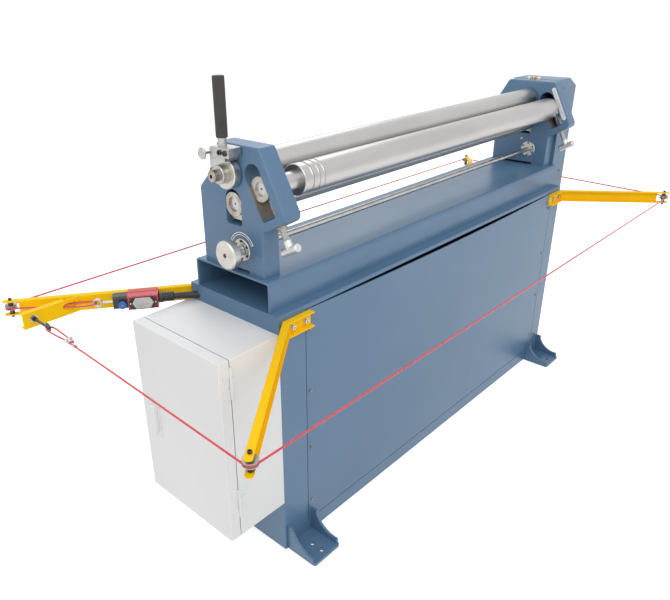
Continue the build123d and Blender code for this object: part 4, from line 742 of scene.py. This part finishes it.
ropeClip = {
    "places": (((-1.2443, 0.1770), 90), ((-1.1612, 0.3956), -41.04)),  # middle and direction of each clamp
    "rise": 0.005,
    "apart": 0.0062,
    "nut": (0.0044, 0.0034, 0.000612),  # radius, height, chamfer
    "stud": (0.0021, 0.0054, 0.0060, 0.7),  # radius, shoulder, height, crown
    "studSides": 20,
}


def addRopeClips():
    # nuts and stud ends on the clamps of both end loops
    bolt = joined([hexNut(*ropeClip["nut"]), capped(ropeClip["studSides"], *ropeClip["stud"])])
    pair = joined([copied(bolt, (0, way * ropeClip["apart"], ropeClip["rise"])) for way in (-1, 1)])
    clips = []
    for (x, y), turn in ropeClip["places"]:
        clips.append(seated(copied(pair), (x, y, rope["height"]), (0, 0, turn)))
    discard(bolt, pair)
    return settle(joined(clips), "ropeClipNuts", "zinc", "frame", "zinc")


def layRope(clips):
    line = bpy.data.curves.new("tripRope", "CURVE")
    line.dimensions = "3D"
    line.bevel_depth = rope["diameter"] / 2
    line.bevel_resolution = rope["sides"]
    line.use_fill_caps = True
    spline = line.splines.new("NURBS")
    spline.points.add(len(rope["route"]) - 1)
    for point, (x, y, *lift) in zip(spline.points, rope["route"]):
        point.co = (x, y, rope["height"] + sum(lift), 1)
    spline.order_u = 3
    spline.use_endpoint_u = True
    spline.resolution_u = rope["steps"]
    piece = bpy.data.objects.new("tripRope", line)
    bpy.context.scene.collection.objects.link(piece)
    line.materials.append(looks["ropeRed"])
    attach(piece, "frame")
    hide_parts("trip_rope")


layRope(addRopeClips())
print("trip rope laid")


# scale round the setting knob: a dark line and ticks on the white arc

arcScale = {
    "face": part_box("scale_plates")[0][0],  # outer face of the white arc
    "sweep": (14.0, 151.0),  # degrees from the rear, over the top
    "lineRadius": 0.0440,
    "lineWidth": 0.0022,
    "lineProud": 0.00028,
    "lineSteps": 48,
    "ticks": 24,
    "tick": (0.0004, 0.0044, 0.0007),  # proud, along the radius, across
    "tickEdge": 0.00012,
}


def addArcScale():
    first, last = arcScale["sweep"]
    radius = arcScale["lineRadius"]
    proud = arcScale["tick"][0]
    sweep = {"angle": math.radians(first - last), "center": (0, 0, 0), "axis": (1, 0, 0)}
    ticks = startBox(arcScale["tick"], (-proud / 2, radius, 0))
    applied("BEVEL", width=arcScale["tickEdge"], segments=1)
    editing(True)
    bpy.ops.mesh.select_all(action="SELECT")
    bpy.ops.mesh.spin(steps=arcScale["ticks"], dupli=True, **sweep)
    editing(False)
    bpy.ops.object.select_all(action="DESELECT")
    bpy.ops.mesh.primitive_plane_add(size=1, location=(-arcScale["lineProud"] / 2, radius, 0))
    line = bpy.context.object
    line.scale = (arcScale["lineProud"], arcScale["lineWidth"], 1)
    bpy.ops.object.transform_apply(location=True, scale=True)
    editing(True)
    bpy.ops.mesh.select_all(action="SELECT")
    bpy.ops.mesh.spin(steps=arcScale["lineSteps"], **sweep)
    bpy.ops.mesh.select_all(action="SELECT")
    bpy.ops.mesh.remove_doubles(threshold=0.00001)
    bpy.ops.mesh.normals_make_consistent(inside=False)
    editing(False)
    marks = seated(joined([ticks, line]), (arcScale["face"], *settingAxis), (first, 0, 0))
    settle(marks, "arcMarks", "inkBlack", "frame", "black_plastic")


# scale on the far nose: fine ticks across the white strip

stripScale = {
    "face": 0.7907,  # strip's face towards the rolls
    "across": -0.0414,
    "from": -0.060,
    "step": 0.005,
    "count": 25,
    "tick": (0.0004, 0.0060, 0.0006),
    "tickEdge": 0.00012,
    "longEvery": 5,
    "longStretch": (1, 1.6, 1.3),
}


def addStripScale():
    lean = math.radians(noseLean)
    up = Vector((0, math.sin(lean), math.cos(lean)))
    over = Vector((0, math.cos(lean), -math.sin(lean)))
    proud = stripScale["tick"][0]
    start = Vector((stripScale["face"] - proud / 2, *bendAxis))
    start += over * stripScale["across"] + up * stripScale["from"]
    shortTick = startBox(stripScale["tick"])
    applied("BEVEL", width=stripScale["tickEdge"], segments=1)
    longTick = copied(shortTick)
    editing(True)
    bpy.ops.mesh.select_all(action="SELECT")
    bpy.ops.transform.resize(value=stripScale["longStretch"], center_override=(0, 0, 0))
    editing(False)
    for tick, every in ((shortTick, 1), (longTick, stripScale["longEvery"])):
        seated(tick, start, (-noseLean, 0, 0))
        applied("ARRAY", count=(stripScale["count"] - 1) // every + 1, use_relative_offset=False,
                use_constant_offset=True, constant_offset_displace=up * stripScale["step"] * every)
    settle(joined([shortTick, longTick]), "stripMarks", "inkBlack", "frame", "black_plastic")


addArcScale()
addStripScale()
print("scales marked")


# rope-pull switch: face plate, bare badge, screws, reset mark, gland and hose

def onLimb(piece, place):
    # piece made with X along the near rear arm and Y out from it
    seated(piece, place)
    return seated(piece, limb["bend"], (0, 0, limb["heading"]))


switchFace = {
    "middle": (0.150, 0.0540, 0.006),  # along the arm, out from it, up
    "rim": 0.0014,
    "plate": (0.080, 0.0012, 0.038),
    "plateCorner": 0.0120,
    "plateSink": 0.0004,
    "plateEdge": 0.0003,
    "badge": (0.059, 0.0010, 0.033),
    "badgePoint": 0.0095,
    "badgeSink": 0.0003,
    "badgeEdge": 0.0002,
    "badgeEdgeAngle": 25,
}


def sunkFace(sink):
    # the picked face gets a rim and goes in
    bpy.ops.mesh.inset(thickness=switchFace["rim"], depth=0)
    bpy.ops.transform.translate(value=(0, -sink, 0))


def addFacePlate():
    plate = startBox(switchFace["plate"], (0, switchFace["plate"][1] / 2, 0))
    editing(True)
    pickEdges(lambda place, way: abs(way.y) > aligned)
    bpy.ops.mesh.bevel(offset=switchFace["plateCorner"], segments=1)
    pickFaces(lambda place, normal: normal.y > aligned)
    sunkFace(switchFace["plateSink"])
    editing(False)
    softened(switchFace["plateEdge"])
    onLimb(plate, switchFace["middle"])
    settle(plate, "switchFacePlate", "mouldedBlack", "frame", "black_plastic")


def addBadge():
    # bare plate, long and six-sided
    length, thick, tall = switchFace["badge"]
    badge = startBox(switchFace["badge"], (0, thick / 2, 0))
    editing(True)
    pickFaces(lambda place, normal: abs(normal.x) > aligned)
    bpy.ops.mesh.subdivide(number_cuts=1)
    # the four corner edges come in, which leaves a point at each end
    pickEdges(lambda place, way: abs(way.y) > aligned and abs(place.x) > length / 4
              and abs(place.z) > tall / 4)
    drawn = 1 - 2 * switchFace["badgePoint"] / length
    bpy.ops.transform.resize(value=(drawn, 1, 1), center_override=(0, 0, 0))
    pickFaces(lambda place, normal: normal.y > aligned)
    bpy.ops.mesh.dissolve_faces()
    sunkFace(switchFace["badgeSink"])
    editing(False)
    softened(switchFace["badgeEdge"], switchFace["badgeEdgeAngle"])
    along, out, up = switchFace["middle"]
    onLimb(badge, (along, out + switchFace["plate"][1], up))
    settle(badge, "switchBadge", "brushedPlate", "frame", "zinc")


switchScrew = {
    "radius": 0.0027,
    "height": 0.0016,
    "sides": 20,
    "profile": ((0, 1), (0.55, 1), (0.85, 0.86), (1, 0.55)),  # shares of the height and the radius
    "slot": (1.3, 0.30, 0.8),  # length and width in radii, depth in heights
    "badgeReach": 0.0350,
    "corner": (0.0355, 0.0155),
    "cornerSink": 0.0008,
}


def crossScrew():
    # low round head with a driver cross
    radius, height = switchScrew["radius"], switchScrew["height"]
    steps = [(rise * height, reach * radius) for rise, reach in switchScrew["profile"]]
    screw = lathed(switchScrew["sides"], steps)
    length, width, depth = switchScrew["slot"]
    cutters = []
    for turn in (0, 90):
        slot = startBox((radius * length, radius * width, height * depth), (0, 0, height))
        cutters.append(seated(slot, (0, 0, 0), (0, 0, turn)))
    cross = joined(cutters)
    alone(screw)
    applied("BOOLEAN", operation="DIFFERENCE", object=cross, solver="EXACT", use_self=True)
    discard(cross)
    return seated(screw, (0, 0, 0), (-90, 0, 0))


def addSwitchScrews():
    along, out, up = switchFace["middle"]
    first = crossScrew()
    side, rise = switchScrew["corner"]
    bright = [copied(first, (way * switchScrew["badgeReach"], switchFace["plate"][1], 0)) for way in (-1, 1)]
    dark = [copied(first, (way * side, 0, tilt * rise)) for way in (-1, 1) for tilt in (-1, 1)]
    discard(first)
    settle(onLimb(joined(bright), switchFace["middle"]), "badgeScrews", "zinc", "frame", "zinc")
    covers = onLimb(joined(dark), (along, out - switchScrew["cornerSink"], up))
    settle(covers, "coverScrews", "darkSteel", "frame", "dark_casting")


resetMark = {
    "place": (0.208, 0.0560, 0.003),
    "shape": (0.0034, 0.0004, 0.0007, 0.8),  # radius, shoulder, height, crown
    "edge": 0.0003,
}


def addResetMark():
    # raised orange triangle on the face of the reset knob
    mark = capped(3, *resetMark["shape"])
    softened(resetMark["edge"])
    seated(mark, (0, 0, 0), (-90, 0, 0))
    settle(onLimb(mark, resetMark["place"]), "resetMark", "markOrange", "reset_knob", "brass")


hose = {
    "start": (0.106, 0.026, 0.006),  # along the arm, out, up: where the gland screws into the switch
    "nut": (0.0160, 0.012, 0.0012),  # radius, length, chamfer
    "nutEdge": 0.0006,
    "nutEdgeAngle": 30,
    "gland": (0.0142, 0.030, 5, 0.0011, (0.55, 0.65, 0.90)),  # radius, length, ribs, depth, groove's shares
    "glandTip": (0.0015, 0.84),  # length past the ribs, share of the radius
    "glandSides": 40,
    "tube": (0.0100, 0.0875, 24, 0.00035, (0.45, 0.60, 0.90)),
    "tubeSides": 36,
    "end": (-0.835, 0.142, 0.766),
    "yaw": -39.89,
}


def ribSteps(radius, length, ribs, depth, groove):
    # each rib: a land, then a groove that falls, runs and rises again at these shares of the pitch
    pitch = length / ribs
    shape = [*zip(groove, (radius, radius - depth, radius - depth)), (1, radius)]
    return [(0, radius)] + [((rib + share) * pitch, reach) for rib in range(ribs) for share, reach in shape]


def addHose():
    nut = hexNut(*hose["nut"])
    softened(hose["nutEdge"], hose["nutEdgeAngle"])
    radius, length = hose["gland"][:2]
    past, share = hose["glandTip"]
    body = lathed(hose["glandSides"], ribSteps(*hose["gland"]) + [(length + past, radius * share)])
    seated(body, (0, 0, hose["nut"][1]))
    gland = seated(joined([nut, body]), (0, 0, 0), (0, -90, 0))
    settle(onLimb(gland, hose["start"]), "cableGland", "mouldedBlack", "frame", "black_plastic", "conduit")
    tube = lathed(hose["tubeSides"], ribSteps(*hose["tube"]))
    seated(tube, (0, 0, -hose["tube"][1]))
    seated(tube, (0, 0, 0), (0, 90, 0))
    seated(tube, hose["end"], (0, 0, hose["yaw"]))
    settle(tube, "ribbedHose", "mouldedBlack", "frame", "black_plastic", "conduit")


addFacePlate()
addBadge()
addSwitchScrews()
addResetMark()
addHose()
print("switch dressed")


# small turned and pressed details

clampSockets = {
    "x": -0.8778,  # underside of the heads
    "places": ((-0.0455, 1.208), (-0.026, 1.208)),
    "head": (0.0068, 0.0034, 0.0042, 0.93),  # radius, shoulder, height, crown
    "sides": 32,
    "socket": 0.0036,
    "depth": 0.0030,
}


def addClampSockets():
    # black socket screws of the lever clamp, over the plain heads
    radius, shoulder, _, crown = clampSockets["head"]
    first = capped(clampSockets["sides"], *clampSockets["head"])
    editing(True)
    pickFaces(lambda place, normal: normal.z > aligned and place.z > shoulder)
    bpy.ops.mesh.inset(thickness=radius * crown - clampSockets["socket"], depth=0)
    bpy.ops.mesh.extrude_region_move(TRANSFORM_OT_translate={"value": (0, 0, -clampSockets["depth"])})
    editing(False)
    seated(first, (0, 0, 0), (0, -90, 0))
    screws = [copied(first, (clampSockets["x"], y, z)) for y, z in clampSockets["places"]]
    discard(first)
    settle(joined(screws), "clampScrews", "darkSteel", "release_lever", "dark_casting")


plug = {
    "place": (0.7915, -0.007, 0.989),
    "button": (0.0055, 0.00132, 0.0022, 0.72),  # radius, shoulder, height, crown
    "sides": 32,
    "rim": 0.00187,
    "sink": 0.00088,
}


def addPlug():
    # brass plug low on the far housing
    shoulder = plug["button"][1]
    button = capped(plug["sides"], *plug["button"])
    editing(True)
    pickFaces(lambda place, normal: normal.z > aligned and place.z > shoulder)
    bpy.ops.mesh.inset(thickness=plug["rim"], depth=0)
    bpy.ops.transform.translate(value=(0, 0, -plug["sink"]))
    editing(False)
    seated(button, plug["place"], (0, -90, 0))
    settle(button, "housingPlug", "brass", "frame", "brass")


brassCollar = {"x": -0.8610, "sides": 64, "radius": 0.0262, "width": 0.0026, "wall": 0.0050, "edge": 0.0004}


def addBrassCollar():
    # thin brass washer between the shaft collar and the release disc: an open tube given a wall inwards
    width = brassCollar["width"]
    bpy.ops.object.select_all(action="DESELECT")
    bpy.ops.mesh.primitive_cylinder_add(vertices=brassCollar["sides"], radius=brassCollar["radius"],
                                        depth=width, end_fill_type="NOTHING", location=(0, 0, width / 2))
    bpy.ops.object.transform_apply(location=True)
    applied("SOLIDIFY", thickness=brassCollar["wall"], offset=-1)
    softened(brassCollar["edge"])
    ring = seated(bpy.context.object, (brassCollar["x"], *topAxis), (0, 90, 0))
    settle(ring, "collarWasher", "brass", "frame", "brass")


addClampSockets()
addPlug()
addBrassCollar()
print("small details added")
